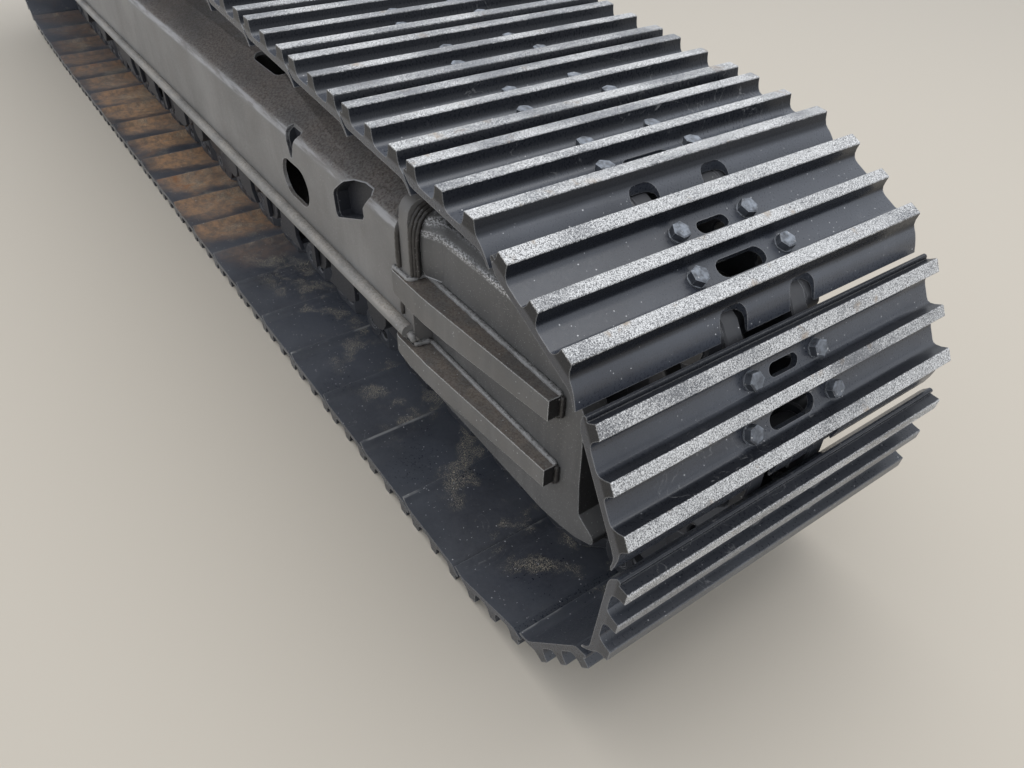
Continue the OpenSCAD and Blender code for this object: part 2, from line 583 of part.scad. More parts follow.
module travel_motor() color(cast_paint) at(drive_x, sprocket_z) turned([
    [0, bracket_y], [motor_r, bracket_y], [motor_r, bracket_y + bracket_t + 26],
    [motor_r - 14, bracket_y + bracket_t + 34], [motor_r - 14, bracket_y + motor_len],
    [motor_r - 34, bracket_y + bracket_t + motor_len], [0, bracket_y + bracket_t + motor_len]], 64);

port_r = 15;
port_deep = 40;
port_x = drive_x + motor_r + 38;
port_y = bracket_y + bracket_t + 126;
module motor_valve() color(cast_paint) difference() {
    at(drive_x, sprocket_z) translate([0, bracket_y + bracket_t + 36, -62]) cube([motor_r + 76, 90, 124]);
    at(drive_x, sprocket_z) rod_y(motor_r - 14, 0, frame_y + 200, 64);
    for (z = [-28, 28]) at(port_x, sprocket_z + z) rod_y(port_r, port_y - port_deep, port_y + 1, 32);
}

// Bent cover over the motor, open to the front for the hoses
guard_t = 8;
guard_y1 = 371;
guard_outline = [[60, -178], [-110, -178], [-178, -110], [-178, 110], [-110, 178], [120, 178]];
module motor_guard() color(paint) at(drive_x, sprocket_z) difference() {
    translate([0, guard_y1, 0]) rotate([90, 0, 0]) linear_extrude(guard_y1 - bracket_y - bracket_t)
        polygon(guard_outline);
    translate([guard_t, guard_y1 - guard_t, 0]) rotate([90, 0, 0]) linear_extrude(guard_y1)
        polygon([[60 + guard_t, -178 + guard_t], [-110 + guard_t * 0.4, -178 + guard_t], [-178, -110 + guard_t * 0.4],
                 [-178, 110 - guard_t * 0.4], [-110 + guard_t * 0.4, 178 - guard_t], [121, 178 - guard_t]]);
}

// Plates that the legs of the car body are bolted to, on ribs that leave room for the nuts
module car_body_seats() color(paint) for (x = seat_xs) difference() {
    slab(seat_y - seat_plate, seat_y) polygon([
        [x - seat_len / 2, seat_low + 24], [x - seat_len / 2 + 24, seat_low], [x + seat_len / 2 - 24, seat_low],
        [x + seat_len / 2, seat_low + 24], [x + seat_len / 2, seat_low + seat_h], [x - seat_len / 2, seat_low + seat_h]]);
    for (dx = [-1, 1], dz = [-1, 1])
        at(x + dx * seat_bolt_x / 2, seat_z + dz * seat_bolt_z / 2) rod_y(seat_hole_r, frame_y, seat_y + 1, 32);
}

rib_t = 24;
rib_foot = lip_z + bar_r * 1.6 + 6;
module seat_ribs() color(paint) for (x = seat_xs, dx = [-0.47, -0.16, 0.16, 0.47])
    beam(x + dx * seat_len - rib_t / 2, x + dx * seat_len + rib_t / 2) polygon([
        [frame_y, rib_foot], [seat_y - seat_plate, seat_low + 26], [seat_y - seat_plate, seat_low + seat_h - 6],
        [frame_y, shoulder_z - shoulder_r - 8]]);

side_frame();
frame_end_plates();
edge_bars();
roller_rails();
side_pockets();
bracket_cheek_outer();
bracket_cheek_inner();
bracket_bridge();
ribs_outer();
ribs_inner();
idler();
idler_shaft();
idler_blocks();
tension_yoke();
recoil_unit();
track_rollers();
roller_collars();
carrier_rollers();
carrier_brackets();
track_guides();
track_guards();
track_shoes();
track_links();
track_bushings();
sprocket();
final_drive();
drive_cover();
drive_flange();
drive_bracket();
bracket_gussets();
travel_motor();
motor_valve();
motor_guard();
car_body_seats();
seat_ribs();
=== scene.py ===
import math
import bpy
from mathutils import Matrix, Vector, noise


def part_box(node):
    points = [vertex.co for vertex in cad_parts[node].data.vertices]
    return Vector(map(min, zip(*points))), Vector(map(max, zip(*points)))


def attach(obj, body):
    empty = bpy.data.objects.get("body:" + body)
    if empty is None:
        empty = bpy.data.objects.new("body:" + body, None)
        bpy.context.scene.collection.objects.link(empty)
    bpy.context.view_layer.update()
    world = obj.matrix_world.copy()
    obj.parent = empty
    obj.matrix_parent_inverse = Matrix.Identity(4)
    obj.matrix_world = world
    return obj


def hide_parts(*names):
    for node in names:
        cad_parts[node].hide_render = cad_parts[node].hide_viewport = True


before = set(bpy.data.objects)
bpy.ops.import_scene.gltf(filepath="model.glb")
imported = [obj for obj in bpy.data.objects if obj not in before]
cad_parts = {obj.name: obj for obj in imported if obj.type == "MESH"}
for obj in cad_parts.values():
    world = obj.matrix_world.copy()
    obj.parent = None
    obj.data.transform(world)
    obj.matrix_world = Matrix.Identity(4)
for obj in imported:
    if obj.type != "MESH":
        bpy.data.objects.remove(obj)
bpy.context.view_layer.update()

# Everything is in metres: X forward to the idler, Y to the machine's centre, Z up
fixedBody = "track_frame"
turningBody = "idler_wheel"
mergeReach = 0.00001      # points nearer than this are one


def middleOf(node):
    low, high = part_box(node)
    return (low + high) / 2


idlerAt = middleOf("idler")
driveAt = middleOf("final_drive")


# Helpers for modelling by operators

def deselect():
    if bpy.context.mode != "OBJECT":
        bpy.ops.object.mode_set(mode="OBJECT")
    bpy.ops.object.select_all(action="DESELECT")


def hold(obj):
    deselect()
    obj.select_set(True)
    bpy.context.view_layer.objects.active = obj


def editAll(obj, kind="VERT", action="SELECT"):
    hold(obj)
    bpy.ops.object.mode_set(mode="EDIT")
    bpy.ops.mesh.select_mode(type=kind)
    bpy.ops.mesh.select_all(action=action)


def pickFaces(obj, test):
    editAll(obj, "FACE", "DESELECT")
    bpy.ops.object.mode_set(mode="OBJECT")
    for face in obj.data.polygons:
        face.select = test(face)
    bpy.ops.object.mode_set(mode="EDIT")


def pickEdges(obj, test):
    editAll(obj, "EDGE", "DESELECT")
    bpy.ops.object.mode_set(mode="OBJECT")
    points = obj.data.vertices
    for edge in obj.data.edges:
        edge.select = test(points[edge.vertices[0]].co, points[edge.vertices[1]].co)
    bpy.ops.object.mode_set(mode="EDIT")


def outwards(obj):
    editAll(obj)
    bpy.ops.mesh.remove_doubles(threshold=mergeReach)
    bpy.ops.mesh.normals_make_consistent(inside=False)
    bpy.ops.object.mode_set(mode="OBJECT")


def modify(obj, kind, **values):
    hold(obj)
    modifier = obj.modifiers.new(kind.title(), kind)
    for key, value in values.items():
        setattr(modifier, key, value)
    bpy.ops.object.modifier_apply(modifier=modifier.name)


def smooth(obj, angle, weighted=True):
    hold(obj)
    bpy.ops.object.shade_smooth_by_angle(angle=math.radians(angle))
    if weighted:
        modify(obj, "WEIGHTED_NORMAL", keep_sharp=True, weight=60)


def bevelEdges(obj, width, steps=2, angle=28):
    modify(obj, "BEVEL", width=width, segments=steps, limit_method="ANGLE",
           angle_limit=math.radians(angle), harden_normals=False)


# A flat outline of (x, z) points at a y, drawn point by point and closed
def outline(name, points, y):
    deselect()
    bpy.ops.mesh.primitive_plane_add(size=0.01, calc_uvs=False)
    obj = bpy.context.object
    obj.name = name
    bpy.ops.object.mode_set(mode="EDIT")
    bpy.ops.mesh.merge(type="CENTER")
    bpy.ops.transform.translate(value=(points[0][0], y, points[0][1]))
    for (x0, z0), (x1, z1) in zip(points, points[1:]):
        bpy.ops.mesh.extrude_vertices_move(TRANSFORM_OT_translate={"value": (x1 - x0, 0, z1 - z0)})
    bpy.ops.mesh.select_all(action="SELECT")
    bpy.ops.mesh.edge_face_add()
    return obj


# The outline carried from y0 to y1, which closes it into a solid
def slab(name, points, y0, y1):
    obj = outline(name, points, y0)
    bpy.ops.mesh.extrude_region_move(TRANSFORM_OT_translate={"value": (0, y1 - y0, 0)})
    outwards(obj)
    return obj


# A profile of (radius, y) points turned about the Y axis
def turned(name, points, steps):
    deselect()
    bpy.ops.mesh.primitive_plane_add(size=0.01, calc_uvs=False)
    obj = bpy.context.object
    obj.name = name
    bpy.ops.object.mode_set(mode="EDIT")
    bpy.ops.mesh.merge(type="CENTER")
    bpy.ops.transform.translate(value=(points[0][0], points[0][1], 0))
    for (r0, y0), (r1, y1) in zip(points, points[1:]):
        bpy.ops.mesh.extrude_vertices_move(TRANSFORM_OT_translate={"value": (r1 - r0, y1 - y0, 0)})
    bpy.ops.mesh.select_all(action="SELECT")
    bpy.ops.mesh.spin(steps=steps, angle=math.tau, center=(0, 0, 0), axis=(0, 1, 0))
    outwards(obj)
    return obj


def joined(objs, name):
    deselect()
    for obj in objs:
        obj.select_set(True)
    bpy.context.view_layer.objects.active = objs[0]
    if len(objs) > 1:
        bpy.ops.object.join()
    objs[0].name = name
    return objs[0]


# Copies of one piece at each place, joined as one object
def spread(master, places, name):
    copies = []
    for place in places:
        copy = master.copy()
        copy.data = master.data.copy()
        bpy.context.scene.collection.objects.link(copy)
        copy.data.transform(place)
        copies.append(copy)
    bpy.data.objects.remove(master)
    return joined(copies, name)


def cutAway(obj, cutter):
    modify(obj, "BOOLEAN", object=cutter, operation="DIFFERENCE", solver="EXACT")
    bpy.data.objects.remove(cutter)


def tidyUp(obj):
    hold(obj)
    bpy.ops.object.transform_apply(location=True, rotation=True, scale=True)


# A weld bead along a line of points, a tube that swells and narrows as it goes
def bead(name, points, size, step=0.004, wave=0.16):
    path = [Vector(points[0])]
    for end in points[1:]:
        start, end = path[-1], Vector(end)
        count = max(1, round((end - start).length / step))
        path += [start.lerp(end, (index + 1) / count) for index in range(count)]
    curve = bpy.data.curves.new(name, "CURVE")
    curve.dimensions = "3D"
    curve.bevel_depth = size
    curve.bevel_resolution = 1
    curve.use_fill_caps = True
    line = curve.splines.new("POLY")
    line.points.add(len(path) - 1)
    for index, (point, place) in enumerate(zip(line.points, path)):
        swell = noise.noise(place * 90) * 1.3 + math.sin(index * 2.3) * 0.5
        shrink = 0.55 if index in (0, len(path) - 1) else 1.0
        point.co = (*place, 1)
        point.radius = shrink * (1 + wave * swell)
    obj = bpy.data.objects.new(name, curve)
    bpy.context.scene.collection.objects.link(obj)
    hold(obj)
    bpy.ops.object.convert(target="MESH")
    return bpy.context.object


# A slot-shaped cutter that lies along X or Y and stands along the third direction
def slotCutter(centre, length, width, depth, along="Y", up="Z", sides=16):
    turn = {"Z": (0, 0, math.pi / sides), "Y": (math.pi / 2, 0, 0)}[up]
    deselect()
    bpy.ops.mesh.primitive_cylinder_add(vertices=sides, radius=width / 2, depth=depth, rotation=turn)
    tidyUp(bpy.context.object)
    obj = bpy.context.object
    axis = "XYZ".index(along)
    for point in obj.data.vertices:
        point.co[axis] += math.copysign((length - width) / 2, point.co[axis])
    obj.data.transform(Matrix.Translation(centre))
    return obj


# Hexagon head on a round washer, standing on Z = 0
def hexBolt(flats=0.0275, head=0.0125, washer=0.0165):
    thick = 0.002
    deselect()
    bpy.ops.mesh.primitive_cylinder_add(vertices=6, radius=flats / math.sqrt(3), depth=head,
                                        location=(0, 0, thick + head / 2))
    tidyUp(bpy.context.object)
    bolt = bpy.context.object
    top = thick + head - 0.0001
    pickFaces(bolt, lambda face: face.center.z > top)
    bpy.ops.mesh.inset(thickness=flats * 0.09)
    bpy.ops.transform.translate(value=(0, 0, flats * 0.05))
    outwards(bolt)
    deselect()
    bpy.ops.mesh.primitive_cylinder_add(vertices=14, radius=washer, depth=thick, location=(0, 0, thick / 2))
    tidyUp(bpy.context.object)
    bolt = joined([bolt, bpy.context.object], "bolt")
    smooth(bolt, 25, weighted=False)
    return bolt


# Turns a bolt's Z to a direction at a place
def facing(direction, at, spin=0.0):
    turn = Vector((0, 0, 1)).rotation_difference(Vector(direction)).to_matrix().to_4x4()
    return Matrix.Translation(at) @ turn @ Matrix.Rotation(spin, 4, "Z")


def dress(obj, material, body=fixedBody, stands=()):
    obj.data.materials.clear()
    obj.data.materials.append(material)
    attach(obj, body)
    if stands:
        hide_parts(*stands)


# A merged copy of a CAD node, with its flat faces joined up again
def mergedCopy(node, name):
    obj = bpy.data.objects.new(name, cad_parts[node].data.copy())
    bpy.context.scene.collection.objects.link(obj)
    editAll(obj)
    bpy.ops.mesh.remove_doubles(threshold=mergeReach)
    bpy.ops.mesh.dissolve_limited(angle_limit=math.radians(0.2))
    bpy.ops.object.mode_set(mode="OBJECT")
    if obj.data.has_custom_normals:
        bpy.ops.mesh.customdata_custom_splitnormals_clear()
    return obj


# Middles of the separate solids in a CAD node
def middlesIn(node):
    obj = mergedCopy(node, "counting")
    editAll(obj)
    bpy.ops.mesh.separate(type="LOOSE")
    bpy.ops.object.mode_set(mode="OBJECT")
    parts = list(bpy.context.selected_objects)
    middles = []
    for part in parts:
        places = [point.co for point in part.data.vertices]
        middles.append(sum(places, Vector()) / len(places))
        bpy.data.objects.remove(part)
    return middles


# Materials: shared effects are node groups, and each material holds its own shader

def newMaterial(name):
    material = bpy.data.materials.new(name)
    material.use_nodes = True
    return material, material.node_tree.nodes["Principled BSDF"]


# A group that takes a vector and the values named, and puts out masks, values or a colour
def newGroup(name, outputs=("Mask",), **inputs):
    tree = bpy.data.node_groups.new(name, "ShaderNodeTree")
    tree.interface.new_socket("Vector", in_out="INPUT", socket_type="NodeSocketVector")
    for label, value in inputs.items():
        kind = "Color" if isinstance(value, tuple) else "Float"
        socket = tree.interface.new_socket(label, in_out="INPUT", socket_type="NodeSocket" + kind)
        socket.default_value = value
    for label in outputs:
        kind = "Color" if label == "Colour" else "Float"
        tree.interface.new_socket(label, in_out="OUTPUT", socket_type="NodeSocket" + kind)
    return tree, tree.nodes.new("NodeGroupInput").outputs, tree.nodes.new("NodeGroupOutput").inputs


def closeGroup(tree, outs, **values):
    for label, value in values.items():
        tree.links.new(value, outs[label])
    return tree


def addNode(tree, kind, values=None, **settings):
    node = tree.nodes.new("ShaderNode" + kind)
    for key, value in settings.items():
        setattr(node, key, value)
    for key, value in (values or {}).items():
        if isinstance(value, bpy.types.NodeSocket):
            tree.links.new(value, node.inputs[key])
        else:
            node.inputs[key].default_value = value
    return node


def calc(tree, operation, a, b=0.0, clamp=False):
    return addNode(tree, "Math", {0: a, 1: b}, operation=operation, use_clamp=clamp).outputs[0]


def times(tree, value, *others):
    for other in others:
        value = calc(tree, "MULTIPLY", value, other)
    return value


def plus(tree, value, *others):
    for other in others:
        value = calc(tree, "ADD", value, other)
    return value


def inverse(tree, value):
    return calc(tree, "SUBTRACT", 1.0, value)


def ramp(tree, value, low, high, toLow=0.0, toHigh=1.0):
    node = addNode(tree, "MapRange", {"Value": value, "From Min": low, "From Max": high,
                                      "To Min": toLow, "To Max": toHigh}, interpolation_type="SMOOTHSTEP")
    return node.outputs["Result"]


def fall(tree, value, low, high):
    return inverse(tree, ramp(tree, value, low, high))


def blendColour(tree, factor, a, b):
    node = addNode(tree, "Mix", data_type="RGBA", blend_type="MIX")
    for index, value in ((0, factor), (6, a), (7, b)):
        if isinstance(value, bpy.types.NodeSocket):
            tree.links.new(value, node.inputs[index])
        else:
            node.inputs[index].default_value = value if index == 0 else (*value, 1.0)
    return node.outputs[2]


def noiseOf(tree, vector, scale, detail, rough=0.55, warp=0.0):
    return addNode(tree, "TexNoise", {"Vector": vector, "Scale": scale, "Detail": detail,
                                      "Roughness": rough, "Distortion": warp}).outputs["Fac"]


# Noise cut off between two levels, which leaves patches
def patches(tree, vector, low, high, scale, detail, rough=0.55):
    return ramp(tree, noiseOf(tree, vector, scale, detail, rough), low, high)


def stretched(tree, vector, scale):
    return addNode(tree, "Mapping", {"Vector": vector, "Scale": scale}).outputs["Vector"]


def split(tree, vector):
    return addNode(tree, "SeparateXYZ", {0: vector}).outputs


# How far a face looks along one axis
def normalAlong(tree, axis):
    return split(tree, addNode(tree, "NewGeometry").outputs["Normal"])[axis]


def makeEdgeWear():
    tree, ins, outs = newGroup("edgeWear", Reach=0.004, Amount=0.5, Grain=60.0)
    rounded = addNode(tree, "Bevel", {"Radius": ins["Reach"]}, samples=6).outputs["Normal"]
    plain = addNode(tree, "NewGeometry").outputs["Normal"]
    along = addNode(tree, "VectorMath", {0: rounded, 1: plain}, operation="DOT_PRODUCT").outputs["Value"]
    broken = noiseOf(tree, ins["Vector"], ins["Grain"], 5.0, 0.7)
    coarse = noiseOf(tree, ins["Vector"], 7.0, 2.0)
    level = times(tree, inverse(tree, along), plus(tree, broken, coarse))
    low = calc(tree, "SUBTRACT", 0.30, times(tree, ins["Amount"], 0.28))
    return closeGroup(tree, outs, Mask=ramp(tree, level, low, plus(tree, low, 0.09)))


# Dust lies on faces that look up, with a thin film on all the others
def makeDust():
    tree, ins, outs = newGroup("settledDust", Amount=0.5, Patch=5.0)
    level = ramp(tree, normalAlong(tree, "Z"), 0.1, 0.95)
    broad = patches(tree, ins["Vector"], 0.3, 0.7, ins["Patch"], 6.0, 0.62)
    fine = patches(tree, ins["Vector"], 0.25, 0.75, 90.0, 4.0, 0.7)
    settled = times(tree, level, plus(tree, times(tree, broad, 0.6), times(tree, fine, 0.4)))
    film = plus(tree, settled, times(tree, broad, 0.12))
    return closeGroup(tree, outs, Mask=calc(tree, "MULTIPLY", film, ins["Amount"], clamp=True))


def makeSpeckle():
    tree, ins, outs = newGroup("brightPits", Scale=160.0, Share=0.1)
    cell = addNode(tree, "TexVoronoi", {"Vector": ins["Vector"], "Scale": ins["Scale"],
                                        "Randomness": 1.0}, feature="F1").outputs
    drawn = addNode(tree, "SeparateColor", {0: cell["Color"]}).outputs
    chosen = calc(tree, "LESS_THAN", drawn[0], ins["Share"])
    reach = plus(tree, times(tree, calc(tree, "POWER", drawn[1], 3.0), 0.36), 0.10)
    spot = calc(tree, "LESS_THAN", cell["Distance"], reach)
    return closeGroup(tree, outs, Mask=times(tree, chosen, spot))


def makeScuffs():
    tree, ins, outs = newGroup("scuffs", Scale=9.0, Share=0.5)
    bent = noiseOf(tree, ins["Vector"], ins["Scale"], 3.0, 0.5, 1.6)
    line = calc(tree, "ABSOLUTE", calc(tree, "SUBTRACT", bent, 0.5))
    thin = fall(tree, line, 0.0, 0.008)
    places = patches(tree, ins["Vector"], 0.52, 0.66, 3.1, 2.0)
    broken = patches(tree, ins["Vector"], 0.42, 0.6, 120.0, 3.0, 0.7)
    marks = times(tree, thin, places, broken)
    return closeGroup(tree, outs, Mask=calc(tree, "MULTIPLY", marks, ins["Share"], clamp=True))


def makeRust():
    tree, ins, outs = newGroup("rustPatches", ("Mask", "Colour"), Scale=6.0, Share=0.2)
    big = noiseOf(tree, ins["Vector"], ins["Scale"], 8.0, 0.66, 0.4)
    low = calc(tree, "SUBTRACT", 0.78, times(tree, ins["Share"], 0.5))
    fine = patches(tree, ins["Vector"], 0.3, 0.7, 70.0, 5.0, 0.7)
    colour = blendColour(tree, fine, (0.10, 0.035, 0.012), (0.34, 0.13, 0.04))
    return closeGroup(tree, outs, Mask=ramp(tree, big, low, plus(tree, low, 0.10)), Colour=colour)


def makeCoat():
    tree, ins, outs = newGroup("unevenCoat", ("Colour", "Grain", "Height"),
                               Dark=(0, 0, 0, 1), Light=(0.1, 0.1, 0.1, 1), Patch=3.0)
    broad = ramp(tree, noiseOf(tree, ins["Vector"], ins["Patch"], 5.0, 0.6, 0.3), 0.3, 0.7)
    fine = noiseOf(tree, ins["Vector"], 220.0, 3.0, 0.6)
    level = plus(tree, times(tree, broad, 0.75), times(tree, fine, 0.25))
    height = plus(tree, times(tree, fine, 0.5), noiseOf(tree, ins["Vector"], 45.0, 4.0, 0.6))
    return closeGroup(tree, outs, Colour=blendColour(tree, level, ins["Dark"], ins["Light"]),
                      Grain=fine, Height=height)


# Runs and washed lines, long in the third direction of the vector
def makeStreaks():
    tree, ins, outs = newGroup("streaks", Scale=26.0)
    long = stretched(tree, ins["Vector"], (1.0, 1.0, 0.09))
    wide = patches(tree, long, 0.42, 0.66, ins["Scale"], 5.0, 0.6)
    where = patches(tree, ins["Vector"], 0.35, 0.65, 4.3, 3.0)
    return closeGroup(tree, outs, Mask=times(tree, wide, where))


# Faces whose normal lies between upright and level: shoulders, partly worn and partly painted highlight
def makeShoulderWearAndHighlight():
    tree, ins, outs = newGroup("shoulder", From=0.3, To=0.85)
    up = normalAlong(tree, "Z")
    low = ramp(tree, up, ins["From"], plus(tree, ins["From"], 0.16))
    high = ramp(tree, up, calc(tree, "SUBTRACT", ins["To"], 0.12), ins["To"])
    band = calc(tree, "SUBTRACT", low, high, clamp=True)
    broken = patches(tree, stretched(tree, ins["Vector"], (0.12, 1.0, 1.0)), 0.38, 0.62, 60.0, 6.0, 0.7)
    return closeGroup(tree, outs, Mask=times(tree, band, broken))


effects = {"wear": makeEdgeWear(), "dust": makeDust(), "pits": makeSpeckle(), "scuffs": makeScuffs(),
           "rust": makeRust(), "coat": makeCoat(), "streaks": makeStreaks(), "shoulder": makeShoulderWearAndHighlight()}


def effect(tree, name, vector, **values):
    node = tree.nodes.new("ShaderNodeGroup")
    node.node_tree = effects[name]
    tree.links.new(vector, node.inputs["Vector"])
    for key, value in values.items():
        node.inputs[key].default_value = value
    return node.outputs


def finishShader(tree, shader, colour, rough, height, strength):
    tree.links.new(colour, shader.inputs["Base Color"])
    tree.links.new(rough, shader.inputs["Roughness"])
    bump = addNode(tree, "Bump", {"Strength": strength, "Distance": 0.0006, "Height": height})
    tree.links.new(bump.outputs["Normal"], shader.inputs["Normal"])


# What a look has unless its own row says otherwise; an effect at 0 or None is left out
plainLook = {
    "patch": 3.0, "bump": 0.25, "worn": (0.33, 0.32, 0.31), "wear": 0, "wearReach": 0.005,
    "streaks": 0, "streakColour": (0.26, 0.255, 0.25), "rust": 0, "rustScale": 6.0,
    "dust": 0, "dustAndSheenColour": (0.24, 0.21, 0.175), "dustPatch": 5.0, "gritAndShade": 0, "wearAndHighlightLines": (),
    "scuffs": 0, "scuffColour": (0.32, 0.31, 0.30), "pits": 0, "pitColour": (0.42, 0.42, 0.42),
    "pitScale": 260.0, "pocketShade": None, "pocketShadeColour": (0.024, 0.026, 0.032), "front": None,
    "shoulder": None,
}


# Coated steel: each effect that the look asks for is laid over the ones before
def coatedSteel(name, own):
    look = {**plainLook, **own}
    material, shader = newMaterial(name)
    tree = material.node_tree
    vector = addNode(tree, "TexCoord").outputs["Object"]
    coat = effect(tree, "coat", vector, Dark=(*look["dark"], 1), Light=(*look["light"], 1),
                  Patch=look["patch"])
    colour = coat["Colour"]
    rough = ramp(tree, coat["Grain"], 0.3, 0.7, look["rough"] - 0.06, look["rough"] + 0.08)
    if look["streaks"]:
        runs = effect(tree, "streaks", vector)["Mask"]
        colour = blendColour(tree, times(tree, runs, look["streaks"]), colour, look["streakColour"])
    if look["rust"]:
        rust = effect(tree, "rust", vector, Scale=look["rustScale"], Share=look["rust"])
        colour = blendColour(tree, rust["Mask"], colour, rust["Colour"])
        rough = calc(tree, "MAXIMUM", rough, times(tree, rust["Mask"], 0.8))
    if look["dust"]:
        dust = effect(tree, "dust", vector, Amount=look["dust"], Patch=look["dustPatch"])["Mask"]
        colour = blendColour(tree, dust, colour, look["dustAndSheenColour"])
        rough = calc(tree, "MAXIMUM", rough, times(tree, dust, 0.9))
    # pale bands at given heights along the bracket's bends: partly worn paint, partly painted highlight
    for height, half, level in look["wearAndHighlightLines"]:
        away = calc(tree, "ABSOLUTE", calc(tree, "SUBTRACT", split(tree, vector)["Z"], height))
        grains = patches(tree, stretched(tree, vector, (0.7, 1.0, 1.0)), 0.46, 0.56, 290.0, 4.0, 0.8)
        grains = times(tree, grains, patches(tree, vector, 0.30, 0.52, 9.0, 3.0))
        wearAndHighlight = times(tree, fall(tree, away, half * 0.3, half), grains, level)
        colour = blendColour(tree, wearAndHighlight, colour, look["worn"])
    # dark grains on faces that look up; on the frame's roof, under the upper run, they are also painted shade
    if look["gritAndShade"]:
        grains = patches(tree, vector, 0.44, 0.60, look["gritScale"], 3.0, 0.8)
        cover = times(tree, grains, ramp(tree, normalAlong(tree, "Z"), 0.5, 0.9), look["gritAndShade"])
        colour = blendColour(tree, cover, colour, look["gritAndShadeColour"])
    if look["pocketShade"]:
        # painted shade on the walls of the pocket and the notch: faces square to the side, within the box of
        # their back plates, are painted dark
        low, high = look["pocketShade"]
        inside = fall(tree, calc(tree, "ABSOLUTE", normalAlong(tree, "Y")), 0.10, 0.45)
        spot = split(tree, vector)
        for axis, start, end in (("X", low.x, high.x), ("Z", low.z, high.z)):
            within = times(tree, ramp(tree, spot[axis], start - 0.012, start - 0.006),
                           fall(tree, spot[axis], end + 0.006, end + 0.012))
            inside = times(tree, inside, within)
        colour = blendColour(tree, inside, colour, look["pocketShadeColour"])
    # painted shade: faces that look forward along X are painted dark
    if look["front"]:
        colour = blendColour(tree, ramp(tree, normalAlong(tree, "X"), 0.80, 0.95), colour, look["front"])
    # a pale band on rounded shoulders: partly worn paint, partly painted highlight
    if look["shoulder"]:
        low, high = look["shoulder"]
        band = effect(tree, "shoulder", vector, From=low, To=high)["Mask"]
        colour = blendColour(tree, times(tree, band, 0.6), colour, look["worn"])
    if look["scuffs"]:
        scuffs = effect(tree, "scuffs", vector, Share=look["scuffs"], Scale=9.0)["Mask"]
        colour = blendColour(tree, scuffs, colour, look["scuffColour"])
    if look["pits"]:
        pits = effect(tree, "pits", vector, Share=look["pits"], Scale=look["pitScale"])["Mask"]
        colour = blendColour(tree, pits, colour, look["pitColour"])
    if look["wear"]:
        wear = effect(tree, "wear", vector, Amount=look["wear"], Reach=look["wearReach"])["Mask"]
        colour = blendColour(tree, wear, colour, look["worn"])
    finishShader(tree, shader, colour, rough, coat["Height"], look["bump"])
    return material


# Shoe coating: colours first, then heights above the pins and places in metres
shoeLook = {
    "dark": (0.024, 0.027, 0.036), "light": (0.068, 0.076, 0.094), "flank": (0.0075, 0.0085, 0.0115),
    "bare": (0.74, 0.74, 0.735), "bareDark": (0.050, 0.050, 0.055), "tan": (0.38, 0.32, 0.26),
    "amber": (0.50, 0.33, 0.14), "mud": (0.205, 0.135, 0.082), "mudLight": (0.52, 0.280, 0.125),
    "mudRust": (0.36, 0.15, 0.045), "sand": (0.66, 0.58, 0.42), "lips": (0.36, 0.36, 0.35),
    "dust": (0.155, 0.16, 0.175), "scuffs": (0.30, 0.30, 0.30), "pits": (0.55, 0.55, 0.56),
    "worn": (0.36, 0.36, 0.36),
    "flankFoot": (0.0602, 0.068), "flankTop": (0.0865, 0.0878), "crest": 0.0872, "innerFace": 0.0500,
    "lowerRun": 0.3, "lip": (0.2455, 0.2475), "muddyFrom": (-2.2, -0.8), "muddyTo": (0.35, 0.95),
    "muddyShoe": (0.055, 0.190), "muddyWidth": (0.27, 0.44), "sandWidth": (0.24, 0.32),
}


